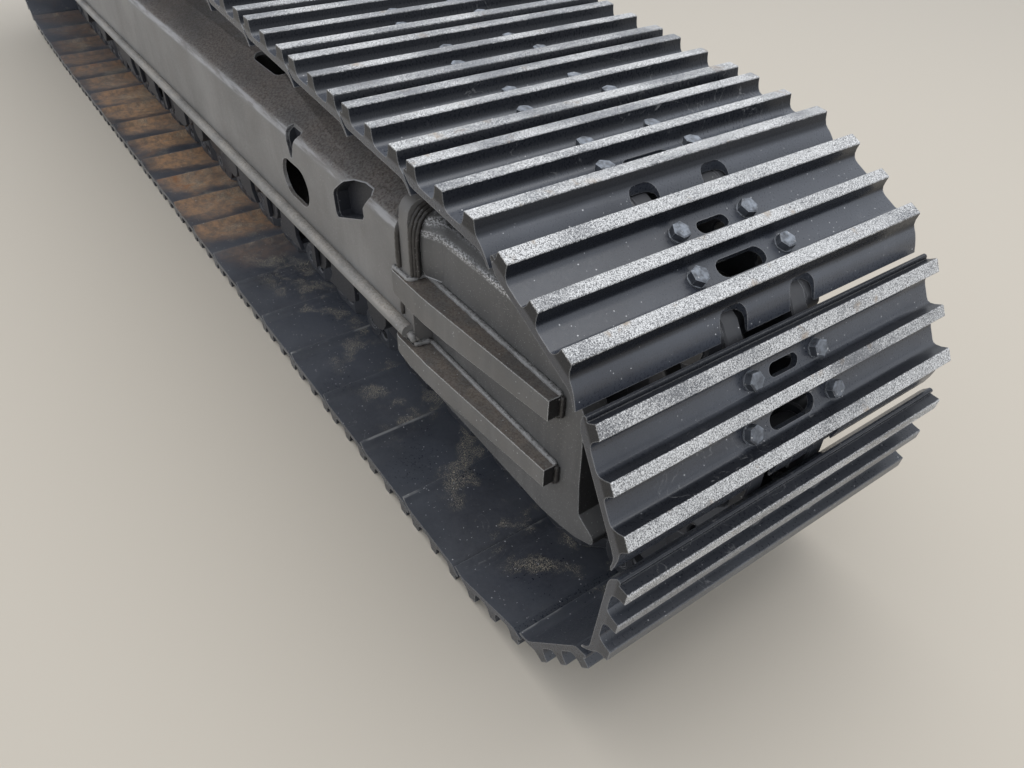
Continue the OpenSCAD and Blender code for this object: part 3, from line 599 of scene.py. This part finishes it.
# Grouser tops are worn bright by height in the shoe's own UV map
def shoeSteel(look):
    material, shader = newMaterial("shoeSteel")
    tree = material.node_tree
    coordinates = addNode(tree, "TexCoord").outputs
    vector, onShoe = coordinates["Object"], split(tree, coordinates["UV"])
    along, height = onShoe["X"], onShoe["Y"]
    place = split(tree, vector)
    coat = effect(tree, "coat", vector, Dark=(*look["dark"], 1), Light=(*look["light"], 1), Patch=2.2)
    # painted shade: the flanks of the grousers are painted near black, and painted lighter on the lowest
    # shoes as a painted reflection of the floor
    flank = times(tree, ramp(tree, height, *look["flankFoot"]), fall(tree, height, *look["flankTop"]),
                  ramp(tree, place["Z"], 0.35, 0.60, 0.35, 1.0))
    colour = blendColour(tree, times(tree, flank, 0.88), coat["Colour"], look["flank"])
    # inner faces of the lower run: brown in the middle of each shoe towards the rear
    under = times(tree, calc(tree, "LESS_THAN", place["Z"], look["lowerRun"]),
                  calc(tree, "LESS_THAN", height, look["innerFace"]))
    rear = times(tree, ramp(tree, place["X"], *look["muddyFrom"], 0.30, 1.0),
                 fall(tree, place["X"], *look["muddyTo"]))
    aside = calc(tree, "ABSOLUTE", place["Y"])
    middle = times(tree, ramp(tree, along, *look["muddyShoe"]), fall(tree, aside, *look["muddyWidth"]))
    blotch = noiseOf(tree, stretched(tree, vector, (1.0, 0.8, 1.0)), 5.5, 7.0, 0.62, 0.3)
    depth = plus(tree, blotch, plus(tree, times(tree, middle, 0.42), times(tree, rear, 0.12)))
    mud = times(tree, ramp(tree, depth, 0.62, 1.0), times(tree, under, rear))
    lighter = patches(tree, vector, 0.35, 0.72, 38.0, 6.0, 0.7)
    redder = patches(tree, vector, 0.60, 0.72, 9.0, 5.0, 0.6)
    mudColour = blendColour(tree, lighter, look["mud"], look["mudLight"])
    colour = blendColour(tree, mud, colour, blendColour(tree, redder, mudColour, look["mudRust"]))
    # sand that lies beside the chain, and dust along the raised lips
    sand = times(tree, patches(tree, vector, 0.55, 0.60, 520.0, 2.0, 0.8),
                 patches(tree, vector, 0.50, 0.62, 10.0, 4.0), under, fall(tree, aside, *look["sandWidth"]))
    colour = blendColour(tree, sand, colour, look["sand"])
    forward = times(tree, patches(tree, vector, 0.52, 0.60, 5.0, 4.0, 0.6), ramp(tree, place["X"], 0.5, 1.1))
    lips = times(tree, ramp(tree, along, *look["lip"]), under, forward)
    colour = blendColour(tree, times(tree, lips, 0.6), colour, look["lips"])
    dust = effect(tree, "dust", vector, Amount=0.42, Patch=4.0)["Mask"]
    dust = times(tree, dust, plus(tree, 0.22, times(tree, under, 0.5)))
    colour = blendColour(tree, dust, colour, look["dust"])
    scuffs = effect(tree, "scuffs", vector, Share=0.45, Scale=7.0)["Mask"]
    colour = blendColour(tree, scuffs, colour, look["scuffs"])
    pits = effect(tree, "pits", vector, Share=0.035, Scale=330.0)["Mask"]
    colour = blendColour(tree, times(tree, pits, inverse(tree, flank)), colour, look["pits"])
    # bare metal worn bright on the grousers, broken up into grains at its edge; it is fuller on the front
    # crests, a painted highlight, and fainter on the lowest shoes
    grain = noiseOf(tree, vector, 330.0, 4.0, 0.8)
    broad = noiseOf(tree, stretched(tree, vector, (1.0, 0.4, 1.0)), 13.0, 3.0)
    scratch = noiseOf(tree, vector, 620.0, 3.0, 0.8)
    ragged = plus(tree, height, times(tree, calc(tree, "SUBTRACT", grain, 0.5), 0.006))
    top = ramp(tree, ragged, look["crest"] - 0.0018, look["crest"] + 0.0001)
    cover = plus(tree, plus(tree, times(tree, grain, 0.5), times(tree, scratch, 0.5)),
                 times(tree, calc(tree, "SUBTRACT", broad, 0.5), 0.5),
                 ramp(tree, place["X"], 1.6, 2.4, -0.055, 0.015))
    bareAndGlint = times(tree, calc(tree, "MAXIMUM", ramp(tree, cover, 0.42, 0.50), 0.22),
                   times(tree, top, ramp(tree, place["Z"], 0.35, 0.50, 0.08, 1.0)))
    frost = patches(tree, vector, 0.42, 0.54, 520.0, 4.0, 0.8)
    bare = blendColour(tree, frost, look["bareDark"], look["bare"])
    bare = blendColour(tree, patches(tree, vector, 0.60, 0.74, 23.0, 4.0, 0.6), bare, look["tan"])
    stain = times(tree, patches(tree, vector, 0.45, 0.58, 6.0, 4.0),
                  times(tree, ramp(tree, place["X"], 0.3, 0.1), ramp(tree, place["Y"], -0.1, 0.05)))
    bare = blendColour(tree, times(tree, stain, 0.7), bare, look["amber"])
    colour = blendColour(tree, bareAndGlint, colour, bare)
    wear = effect(tree, "wear", vector, Amount=0.62, Reach=0.004)["Mask"]
    colour = blendColour(tree, times(tree, wear, 0.55), colour, look["worn"])
    matt = calc(tree, "MAXIMUM", calc(tree, "MAXIMUM", bareAndGlint, dust), mud)
    rough = plus(tree, ramp(tree, coat["Grain"], 0.3, 0.7, 0.24, 0.36), times(tree, matt, 0.40))
    # a lower specular level on the flanks goes with their painted shade
    tree.links.new(ramp(tree, flank, 0.0, 1.0, 0.75, 0.32), shader.inputs["Specular IOR Level"])
    finishShader(tree, shader, colour, rough, coat["Height"], 0.3)
    return material


looks = {
    # the dark grains on the frame's roof are partly painted shade
    "frame": ("framePaint", {
        "dark": (0.148, 0.145, 0.143), "light": (0.252, 0.248, 0.245), "rough": 0.46, "streaks": 0.30,
        "streakColour": (0.105, 0.102, 0.100), "dust": 1.0, "dustAndSheenColour": (0.225, 0.192, 0.170),
        "wear": 0.18, "worn": (0.50, 0.50, 0.51), "wearReach": 0.008, "shoulder": (0.22, 0.80),
        "scuffs": 0.35, "pits": 0.06, "pitScale": 480.0, "rust": 0.08, "gritAndShade": 0.8,
        "gritAndShadeColour": (0.070, 0.058, 0.050), "gritScale": 170.0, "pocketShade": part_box("side_pockets")}),
    "ring": ("ringPaint", {
        "dark": (0.130, 0.127, 0.125), "light": (0.215, 0.211, 0.208), "rough": 0.45, "streaks": 0.25,
        "streakColour": (0.10, 0.098, 0.096), "dust": 0.5, "wear": 0.45, "worn": (0.50, 0.47, 0.45),
        "scuffs": 0.3, "pits": 0.06, "rust": 0.24, "rustScale": 16.0}),
    # near black paint for the pockets, guides and guards: painted shade where they sit deep or hang under the
    # frame
    "recess": ("recessPaint", {
        "dark": (0.016, 0.017, 0.022), "light": (0.026, 0.028, 0.036), "rough": 0.5,
        "scuffs": 0.3, "pits": 0.02}),
    "cheek": ("bracketPaint", {
        "dark": (0.080, 0.080, 0.081), "light": (0.135, 0.134, 0.133), "rough": 0.46, "streaks": 0.2,
        "dust": 0.35, "dustAndSheenColour": (0.13, 0.12, 0.11), "wear": 0.62, "worn": (0.64, 0.64, 0.65),
        "wearReach": 0.006, "wearAndHighlightLines": ((0.650, 0.010, 1.0), (0.674, 0.010, 1.0), (0.692, 0.008, 0.7)),
        "front": (0.030, 0.029, 0.029), "scuffs": 0.3, "pits": 0.10, "pitScale": 620.0, "rust": 0.04}),
    "rib": ("ribPaint", {
        "dark": (0.118, 0.116, 0.113), "light": (0.170, 0.167, 0.163), "rough": 0.6, "streaks": 0.2,
        "dust": 1.0, "dustAndSheenColour": (0.235, 0.196, 0.163), "dustPatch": 16.0, "gritAndShade": 0.6,
        "gritAndShadeColour": (0.072, 0.053, 0.042), "gritScale": 230.0, "wear": 0.96, "wearReach": 0.0032,
        "worn": (0.85, 0.85, 0.84), "front": (0.022, 0.021, 0.021), "scuffs": 0.4, "pits": 0.05,
        "rust": 0.10}),
    "bar": ("barPaint", {
        "dark": (0.16, 0.158, 0.155), "light": (0.25, 0.245, 0.24), "rough": 0.55, "dust": 1.0,
        "dustAndSheenColour": (0.46, 0.42, 0.37), "dustPatch": 9.0, "gritAndShade": 0.5, "gritAndShadeColour": (0.16, 0.14, 0.12),
        "gritScale": 190.0, "scuffs": 0.3, "pits": 0.04, "rust": 0.08}),
    "weld": ("weldBead", {
        "dark": (0.12, 0.118, 0.115), "light": (0.33, 0.325, 0.32), "rough": 0.45, "dust": 0.6,
        "dustAndSheenColour": (0.52, 0.51, 0.50), "patch": 34.0, "pits": 0.22, "pitScale": 560.0, "gritAndShade": 0.8,
        "gritAndShadeColour": (0.10, 0.095, 0.09), "gritScale": 200.0, "rust": 0.08, "rustScale": 18.0, "bump": 0.6}),
    "burnt": ("weldDark", {
        "dark": (0.012, 0.011, 0.011), "light": (0.060, 0.055, 0.052), "rough": 0.36, "dust": 0.12,
        "pits": 0.12, "pitScale": 560.0, "rust": 0.20, "rustScale": 26.0, "patch": 18.0, "bump": 0.6}),
    # bolts: the blue-grey on their tops is partly dust, partly a painted reflection of the sky
    "bolt": ("boltCoat", {
        "dark": (0.024, 0.027, 0.033), "light": (0.066, 0.072, 0.085), "rough": 0.36, "dust": 1.0,
        "dustAndSheenColour": (0.27, 0.295, 0.335), "dustPatch": 90.0, "wear": 0.5, "wearReach": 0.002,
        "worn": (0.36, 0.37, 0.39), "pits": 0.14, "patch": 30.0}),
    "link": ("linkSteel", {
        "dark": (0.018, 0.019, 0.023), "light": (0.052, 0.055, 0.064), "rough": 0.42, "dust": 0.4,
        "dustAndSheenColour": (0.12, 0.115, 0.11), "wear": 0.66, "worn": (0.30, 0.30, 0.31), "scuffs": 0.2,
        "pits": 0.03, "rust": 0.08}),
    "cast": ("castSteel", {
        "dark": (0.015, 0.016, 0.019), "light": (0.042, 0.043, 0.049), "rough": 0.5, "dust": 0.3,
        "wear": 0.4, "worn": (0.22, 0.22, 0.23), "rust": 0.08, "bump": 0.5}),
    "roller": ("rollerSteel", {
        "dark": (0.016, 0.017, 0.020), "light": (0.044, 0.045, 0.050), "rough": 0.45, "dust": 0.3,
        "wear": 0.5, "worn": (0.38, 0.37, 0.36), "rust": 0.10}),
    "drive": ("drivePaint", {
        "dark": (0.085, 0.085, 0.085), "light": (0.150, 0.149, 0.147), "rough": 0.45, "streaks": 0.25,
        "dust": 0.5, "wear": 0.55, "scuffs": 0.25, "rust": 0.05}),
    "seat": ("seatSteel", {
        "dark": (0.12, 0.118, 0.115), "light": (0.20, 0.197, 0.193), "rough": 0.5, "dust": 0.4,
        "wear": 0.6, "worn": (0.40, 0.38, 0.36), "scuffs": 0.2, "rust": 0.10}),
}
steel = {"shoe": shoeSteel(shoeLook)}
for key, (name, look) in looks.items():
    steel[key] = coatedSteel(name, look)
print("materials made")

# Pins of the chain, in order along the loop, and the frame of each link
loopX, loopZ = middleOf("track_bushings").x, 0.5    # a point inside the loop
pinPlaces = middlesIn("track_bushings")
pinPlaces.sort(key=lambda p: -math.atan2(p.z - loopZ, p.x - loopX))
atPins = [Matrix.Translation((p.x, 0, p.z)) for p in pinPlaces]
linkPlaces = []
for start, end in zip(pinPlaces, pinPlaces[1:] + pinPlaces[:1]):
    heading = math.atan2(end.z - start.z, end.x - start.x)
    linkPlaces.append(Matrix.Translation((start.x, 0, start.z)) @ Matrix.Rotation(-heading, 4, "Y"))
print("pins:", len(pinPlaces), "pitch", round((pinPlaces[1] - pinPlaces[0]).length, 4))

# Triple grouser shoe, measured in millimetres along its link and above the pins
shoe = {
    "width": 750,
    "outline": [
        (44, 48), (34, 49.5), (26, 54), (21, 58.5), (16, 62), (15, 66), (17, 69.5), (20.5, 70), (23, 69),
        (24.5, 68.5), (25, 74), (24.5, 86), (26, 88), (47, 88), (48.5, 86.5), (50.5, 76), (53.5, 68),
        (58, 63), (63, 60.8), (70, 60), (93, 60), (99, 61), (103, 65), (105.5, 73), (106.5, 86.5),
        (108, 88), (126, 88), (127.5, 86.5), (129.5, 76), (132, 68), (136, 63), (141, 60.8), (147, 60),
        (171, 60), (176, 61), (180, 65), (183.5, 74), (185, 86.5), (186.5, 88), (208.5, 88), (210, 86.5),
        (213, 74), (217, 66), (222, 62), (230, 57), (238, 50), (245, 43), (250, 37), (253.5, 33.5),
        (252, 31.5), (247, 33), (242, 38), (236, 43), (228, 47), (218, 48)],
    "ovals": [(82, 65, 24), (158, 103, 34)],    # along, length across, width
    "lipCut": {"from": 217, "length": 60, "inner": 48, "outer": 105, "round": 17},
    "bolts": [(80.4, 73.7), (157.3, 95.6)],     # along, out from the middle
    "top": 60,                                  # where the bolts stand
    "boltTurns": (0.35, 0.9, 1.7),              # radians: first, each shoe, each bolt
}
mm = 0.001
shoePiece = slab("trackShoes", [(x * mm, z * mm) for x, z in shoe["outline"]],
                 -shoe["width"] / 2 * mm, shoe["width"] / 2 * mm)
for along, length, width in shoe["ovals"]:
    cutAway(shoePiece, slotCutter((along * mm, 0, 0.055), length * mm, width * mm, 0.05))
cut = shoe["lipCut"]
for side in (-1, 1):
    deselect()
    middle = ((cut["from"] + cut["length"] / 2) * mm, side * (cut["inner"] + cut["outer"]) / 2 * mm, 0.05)
    size = (cut["length"] * mm, (cut["outer"] - cut["inner"]) * mm, 0.08)
    bpy.ops.mesh.primitive_cube_add(size=1, location=middle, scale=size)
    cutter = bpy.context.object
    tidyUp(cutter)
    pickEdges(cutter, lambda a, b: abs(a.x - b.x) + abs(a.y - b.y) < 1e-6 and a.x < (cut["from"] + 1) * mm)
    bpy.ops.mesh.bevel(offset=cut["round"] * mm, segments=4, affect="EDGES")
    bpy.ops.object.mode_set(mode="OBJECT")
    cutAway(shoePiece, cutter)
outwards(shoePiece)
# the UV map keeps each point's place along the link and its height, for the worn grousers
while shoePiece.data.uv_layers:
    shoePiece.data.uv_layers.remove(shoePiece.data.uv_layers[0])
shoeMap = shoePiece.data.uv_layers.new(name="shoeMap")
for loop in shoePiece.data.loops:
    spot = shoePiece.data.vertices[loop.vertex_index].co
    shoeMap.data[loop.index].uv = (spot.x, spot.z)
smooth(shoePiece, 34)
shoePiece = spread(shoePiece, linkPlaces, "trackShoes")
dress(shoePiece, steel["shoe"], stands=["track_shoes"])
print("shoes:", len(shoePiece.data.polygons), "faces")

firstTurn, shoeTurn, boltTurn = shoe["boltTurns"]
spots = [(along * mm, side * out * mm, shoe["top"] * mm) for along, out in shoe["bolts"] for side in (-1, 1)]
places = []
for number, place in enumerate(linkPlaces):
    for index, spot in enumerate(spots):
        turn = Matrix.Rotation(firstTurn + boltTurn * index + shoeTurn * number, 4, "Z")
        places.append(place @ Matrix.Translation(spot) @ turn)
shoeBolts = spread(hexBolt(), places, "shoeBolts")
dress(shoeBolts, steel["bolt"])
print("shoe bolts:", len(shoeBolts.data.polygons), "faces")

# Links: a narrow end round the first pin and a wide end round the next one, in millimetres
link = {
    "pitch": 216, "boss": 46, "rail": 66, "railEnds": (190, 26), "seat": 48, "seatEnds": (30, 186),
    "narrow": (56, 92), "wide": (92, 128),      # inner and outer face
    "shift": (84, 132),                         # where one goes over into the other
    "windows": [(78, 10, 15), (156, 10, 15)],   # along, height, radius
}


def around(x, angles):
    turns = [math.radians(angle) for angle in angles]
    return [(x + link["boss"] * math.cos(turn), link["boss"] * math.sin(turn)) for turn in turns]


linkShape = [(x, -link["rail"]) for x in link["railEnds"]] + around(0, range(-80, -270, -25))
linkShape += [(x, link["seat"]) for x in link["seatEnds"]] + around(link["pitch"], range(80, -90, -25))
links = []
for side in (-1, 1):
    piece = slab("link", [(x * mm, z * mm) for x, z in linkShape],
                 side * link["narrow"][0] * mm, side * link["narrow"][1] * mm)
    for along in link["shift"]:
        editAll(piece)
        bpy.ops.mesh.bisect(plane_co=(along * mm, 0, 0), plane_no=(1, 0, 0))
        bpy.ops.object.mode_set(mode="OBJECT")
    step = (link["wide"][0] - link["narrow"][0]) * mm * side
    for point in piece.data.vertices:
        if point.co.x > (link["shift"][1] - 1) * mm:
            point.co.y += step
    for along, height, radius in link["windows"]:
        at = (along * mm, side * link["wide"][0] * mm, height * mm)
        cutAway(piece, slotCutter(at, 0.034, 2 * radius * mm, 0.2, along="X", up="Y", sides=10))
    outwards(piece)
    bevelEdges(piece, 0.003, 1, 40)
    smooth(piece, 32)
    links.append(spread(piece, linkPlaces, "links"))
trackLinks = joined(links, "trackLinks")
dress(trackLinks, steel["link"], stands=["track_links"])
print("links:", len(trackLinks.data.polygons), "faces")

# Raised rings round the pins, and the pins with their bushings: (radius, y) of one side
ringShape = [(0.021, 0.127), (0.0225, 0.131), (0.040, 0.131), (0.0425, 0.127)]
pinShape = [(0, 0.123), (0.009, 0.123), (0.012, 0.131), (0.020, 0.131), (0.021, 0.056), (0.030, 0.0555)]
ring = joined([turned("ring", [(r, side * y) for r, y in ringShape], 20) for side in (1, -1)], "ring")
smooth(ring, 32, weighted=False)
dress(spread(ring, atPins, "pinRings"), steel["link"])
pin = turned("pin", [(r, -y) for r, y in pinShape] + pinShape[::-1], 16)
smooth(pin, 32, weighted=False)
dress(spread(pin, atPins, "trackPins"), steel["link"], stands=["track_bushings"])

# CAD nodes that keep their shape get broken edges: name, width in metres, finish and slot
kept = {
    "side_frame": ("sideFrame", 0.002, "frame", "frame_paint"),
    "frame_end_plates": ("frameEnds", 0.003, "ring", "frame_paint"),
    "roller_rails": ("rollerRails", 0.003, "frame", "frame_paint"),
    "side_pockets": ("sidePockets", 0.002, "recess", "frame_paint"),
    "bracket_cheek_outer": ("cheekOuter", 0.004, "cheek", "cast_steel"),
    "bracket_cheek_inner": ("cheekInner", 0.004, "cheek", "cast_steel"),
    "bracket_bridge": ("bracketBridge", 0.003, "cheek", "cast_steel"),
    "ribs_outer": ("ribsOuter", 0.0018, "rib", "frame_paint"),
    "ribs_inner": ("ribsInner", 0.0018, "rib", "frame_paint"),
    "idler_shaft": ("idlerShaft", 0.003, "cast", "cast_steel"),
    "idler_blocks": ("idlerBlocks", 0.004, "cast", "cast_steel"),
    "tension_yoke": ("tensionYoke", 0.006, "cast", "cast_steel"),
    "recoil_unit": ("recoilUnit", 0.005, "cast", "cast_steel"),
    "track_rollers": ("trackRollers", 0.004, "roller", "roller_steel"),
    "roller_collars": ("rollerCollars", 0.005, "cast", "cast_steel"),
    "carrier_rollers": ("carrierRollers", 0.003, "roller", "roller_steel"),
    "carrier_brackets": ("carrierBrackets", 0.003, "frame", "frame_paint"),
    "track_guides": ("trackGuides", 0.003, "recess", "frame_paint"),
    "track_guards": ("trackGuards", 0.0015, "recess", "frame_paint"),
    "sprocket": ("sprocketRing", 0.004, "roller", "idler_steel"),
    "final_drive": ("finalDrive", 0.005, "drive", "drive_paint"),
    "drive_cover": ("driveCover", 0.004, "drive", "drive_paint"),
    "drive_flange": ("driveFlange", 0.004, "drive", "drive_paint"),
    "drive_bracket": ("driveBracket", 0.003, "frame", "frame_paint"),
    "bracket_gussets": ("bracketGussets", 0.002, "frame", "frame_paint"),
    "travel_motor": ("travelMotor", 0.004, "drive", "drive_paint"),
    "motor_valve": ("motorValve", 0.004, "drive", "drive_paint"),
    "motor_guard": ("motorGuard", 0.002, "frame", "frame_paint"),
    "car_body_seats": ("carBodySeats", 0.003, "seat", "seat_steel"),
    "seat_ribs": ("seatRibs", 0.003, "seat", "seat_steel"),
}
for node, (name, width, finish, slotName) in kept.items():
    piece = mergedCopy(node, name)
    bevelEdges(piece, width)
    smooth(piece, 30)
    dress(piece, steel[finish], stands=[node])
print("kept nodes dressed:", len(kept))
edgeBars = mergedCopy("edge_bars", "edgeBars")
smooth(edgeBars, 32)
dress(edgeBars, steel["bar"], stands=["edge_bars"])

idlerWheel = mergedCopy("idler", "idlerWheel")
bevelEdges(idlerWheel, 0.004)
smooth(idlerWheel, 30)
dress(idlerWheel, steel["roller"], body=turningBody, stands=["idler"])

# Bolts of the drive, its cover and bracket, the motor guard and the roller collars: across flats, head and
# the washer's radius
boltSizes = {"drive": (0.026, 0.012, 0.018), "cover": (0.020, 0.010, 0.014), "plug": (0.022, 0.012, 0.018),
             "guard": (0.018, 0.008, 0.014), "collar": (0.024, 0.013, 0.017)}
driveRadius = (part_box("final_drive")[1].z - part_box("final_drive")[0].z) / 2
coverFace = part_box("drive_cover")[0].y
boltRings = [    # size, count, radius, y, side that they look to
    ("drive", 24, driveRadius - 0.022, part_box("sprocket")[0].y - 0.0245, -1),
    ("cover", 10, 0.112, coverFace + 0.0075, -1),
    ("drive", 18, driveRadius - 0.030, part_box("drive_bracket")[1].y, 1),
]
driveBolts = []
for size, count, radius, y, side in boltRings:
    places = []
    for number in range(count):
        angle = math.tau * (number + 0.5) / count
        at = (driveAt.x + radius * math.cos(angle), y, driveAt.z + radius * math.sin(angle))
        places.append(facing((0, side, 0), at, number * 0.7))
    driveBolts.append(spread(hexBolt(*boltSizes[size]), places, "driveBolts"))
places = [facing((0, -1, 0), (driveAt.x, coverFace, driveAt.z + up)) for up in (0.034, -0.034)]
driveBolts.append(spread(hexBolt(*boltSizes["plug"]), places, "driveBolts"))
guardAt, guardFace = middleOf("motor_guard"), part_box("motor_guard")[1].y - 0.0072
places = [facing((0, 1, 0), (guardAt.x + along, guardFace, guardAt.z + up))
          for along in (-0.07, 0.09) for up in (-0.12, 0.12)]
driveBolts.append(spread(hexBolt(*boltSizes["guard"]), places, "driveBolts"))
dress(joined(driveBolts, "driveBolts"), steel["bolt"])

collars = {"along": 0.051, "aside": 0.180, "foot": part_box("roller_collars")[1].z - 0.030}
collarXs = sorted({round(place.x, 3) for place in middlesIn("roller_collars")})
places = [facing((0, 0, -1), (x + end * collars["along"], side * collars["aside"], collars["foot"]))
          for x in collarXs for end in (-1, 1) for side in (-1, 1)]
dress(spread(hexBolt(*boltSizes["collar"]), places, "collarBolts"), steel["bolt"])
print("bolt rings done")

# Welds round the bracket: points along, out and up in millimetres from under the idler's axis, and a radius
welds = {
    "pale": [
        ([(-360, 222, 544), (92, 222, 542)], 6.5),
        ([(-362, 225, 546), (-362, 256, 544), (-368, 263, 543), (-434, 263, 542)], 6),
        ([(-361, 225, 547), (-352, 222, 549)], 9.5),
        ([(-359, 222, 376), (92, 222, 373)], 6.2),
        ([(-378, 266, 408), (-368, 264, 398), (-364, 262, 386)], 9),
        ([(-364, 262, 379), (-362, 240, 378), (-360, 224, 377)], 7),
    ],
    "dark": [
        ([(96, 222, 541), (96, 222, 494)], 6),
        ([(96, 222, 372), (96, 222, 328)], 6),
        ([(-362, 222, 474), (-220, 222, 474), (92, 222, 491)], 6),
        ([(-362, 222, 315), (-220, 222, 315), (92, 222, 325)], 6),
        ([(-406, 262, 436), (-406, 262, 530)], 5),
        ([(-406, 262, 552), (-406, 262, 628), (-406, 257, 648), (-406, 246, 660),
          (-406, 200, 680), (-406, 152, 700), (-406, 100, 700)], 6.5),
        ([(-405, 256, 664), (-403, 250, 682), (-400, 240, 694)], 9),
    ],
    # passes side by side where the bracket meets the ring, each one further in above the shoulder
    "passes": {"count": 3, "size": 5.2, "x": -362, "step": 4.5, "shoulder": 600,
               "path": [(256, 550), (256, 640), (253, 662), (246, 682), (233, 698), (214, 707), (192, 710)]},
    "seatRibs": {"aside": 0.014, "size": 0.006, "step": 0.008},
    "flare": {"x": (-352, -338, -318, -292), "share": (1.0, 0.55, 0.2, 0.0),
              "near": [(243, 546), (243, 630), (240, 656), (231, 677), (216, 690), (192, 695)],
              "far": [(217.5, 546), (217.5, 620), (217.5, 650), (212, 656.5), (203, 662.5), (192, 667.5)]},
}


def besideIdler(points, side):
    return [(idlerAt.x + x * mm, side * y * mm, z * mm) for x, y, z in points]


for kind, finish in (("pale", "weld"), ("dark", "burnt")):
    beads = [bead("bead", besideIdler(points, side), size * mm)
             for points, size in welds[kind] for side in (-1, 1)]
    if kind == "dark":
        run = welds["passes"]
        for side in (-1, 1):
            for number in range(run["count"]):
                shift = run["step"] * number
                path = [(run["x"] + shift, y - shift, z - (shift if z > run["shoulder"] else 0))
                        for y, z in run["path"]]
                beads.append(bead("bead", besideIdler(path, side), run["size"] * mm, wave=0.10))
        run = welds["seatRibs"]
        low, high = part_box("seat_ribs")
        for place in middlesIn("seat_ribs"):
            for x in (place.x - run["aside"], place.x + run["aside"]):
                ends = [(x, low.y + 0.001, low.z + 0.004), (x, low.y + 0.001, high.z - 0.008)]
                beads.append(bead("bead", ends, run["size"], run["step"]))
    welded = joined(beads, kind + "Welds")
    smooth(welded, 60, weighted=False)
    dress(welded, steel[finish])
    print(kind, "welds:", len(welded.data.polygons), "faces")

# Skin that carries the bracket out to the front ring
flare = welds["flare"]
rows, columns = len(flare["near"]), len(flare["x"])
skins = []
for side in (-1, 1):
    deselect()
    bpy.ops.mesh.primitive_grid_add(x_subdivisions=columns - 1, y_subdivisions=rows - 1, size=2,
                                    calc_uvs=False)
    skin = bpy.context.object
    for point in skin.data.vertices:
        column = round((point.co.x + 1) / 2 * (columns - 1))
        row = round((point.co.y + 1) / 2 * (rows - 1))
        share = flare["share"][column]
        y, z = (a * share + b * (1 - share) for a, b in zip(flare["near"][row], flare["far"][row]))
        point.co = (idlerAt.x + flare["x"][column] * mm, side * y * mm, z * mm)
    outwards(skin)
    if sum(face.normal.y * face.area for face in skin.data.polygons) * side < 0:
        editAll(skin)
        bpy.ops.mesh.flip_normals()
        bpy.ops.object.mode_set(mode="OBJECT")
    modify(skin, "SOLIDIFY", thickness=0.008, offset=-1)
    modify(skin, "SUBSURF", levels=1)
    smooth(skin, 50, weighted=False)
    skins.append(skin)
dress(joined(skins, "bracketFlares"), steel["cheek"])

# Floor, soft overhead light and the camera at the photograph's angle, placed from the idler
studio = {"floor": (0.565, 0.512, 0.435), "floorSize": 60, "sky": (0.90, 0.94, 1.0), "skyLevel": 0.98,
          "lampAt": (-0.6, 0.5, 5.0), "lampSize": 5.0, "lampPower": 100.0, "lampColour": (1.0, 0.985, 0.96)}
view = {"lens": 27.48, "sensor": 36.0, "at": (0.861, -0.888, 1.410), "right": (0.5726, 0.8195, 0.0233),
        "up": (-0.5359, 0.3527, 0.7671), "back": (0.6204, -0.4517, 0.6411)}
underIdler = Vector((idlerAt.x, 0, 0))
scene = bpy.context.scene
deselect()
bpy.ops.mesh.primitive_plane_add(size=studio["floorSize"], location=underIdler)
floor = bpy.context.object
floor.name = "floor"
floorPaint, shader = newMaterial("floorPaint")
shader.inputs["Base Color"].default_value = (*studio["floor"], 1)
shader.inputs["Roughness"].default_value = 0.9
floor.data.materials.append(floorPaint)

world = bpy.data.worlds.new("studio")
scene.world = world
world.use_nodes = True
sky = world.node_tree.nodes["Background"]
sky.inputs["Color"].default_value = (*studio["sky"], 1)
sky.inputs["Strength"].default_value = studio["skyLevel"]
bpy.ops.object.light_add(type="AREA", location=underIdler + Vector(studio["lampAt"]))
lamp = bpy.context.object.data
lamp.shape = "SQUARE"
lamp.size = studio["lampSize"]
lamp.energy = studio["lampPower"]
lamp.color = studio["lampColour"]

camera = bpy.data.objects.new("camera", bpy.data.cameras.new("camera"))
scene.collection.objects.link(camera)
camera.data.lens = view["lens"]
camera.data.sensor_width = view["sensor"]
camera.data.sensor_fit = "HORIZONTAL"
camera.data.clip_end = 100.0
turn = Matrix((view["right"], view["up"], view["back"])).transposed().to_4x4()
camera.matrix_world = Matrix.Translation(underIdler + Vector(view["at"])) @ turn
scene.camera = camera

scene.view_settings.view_transform = "Standard"
bpy.context.view_layer.update()
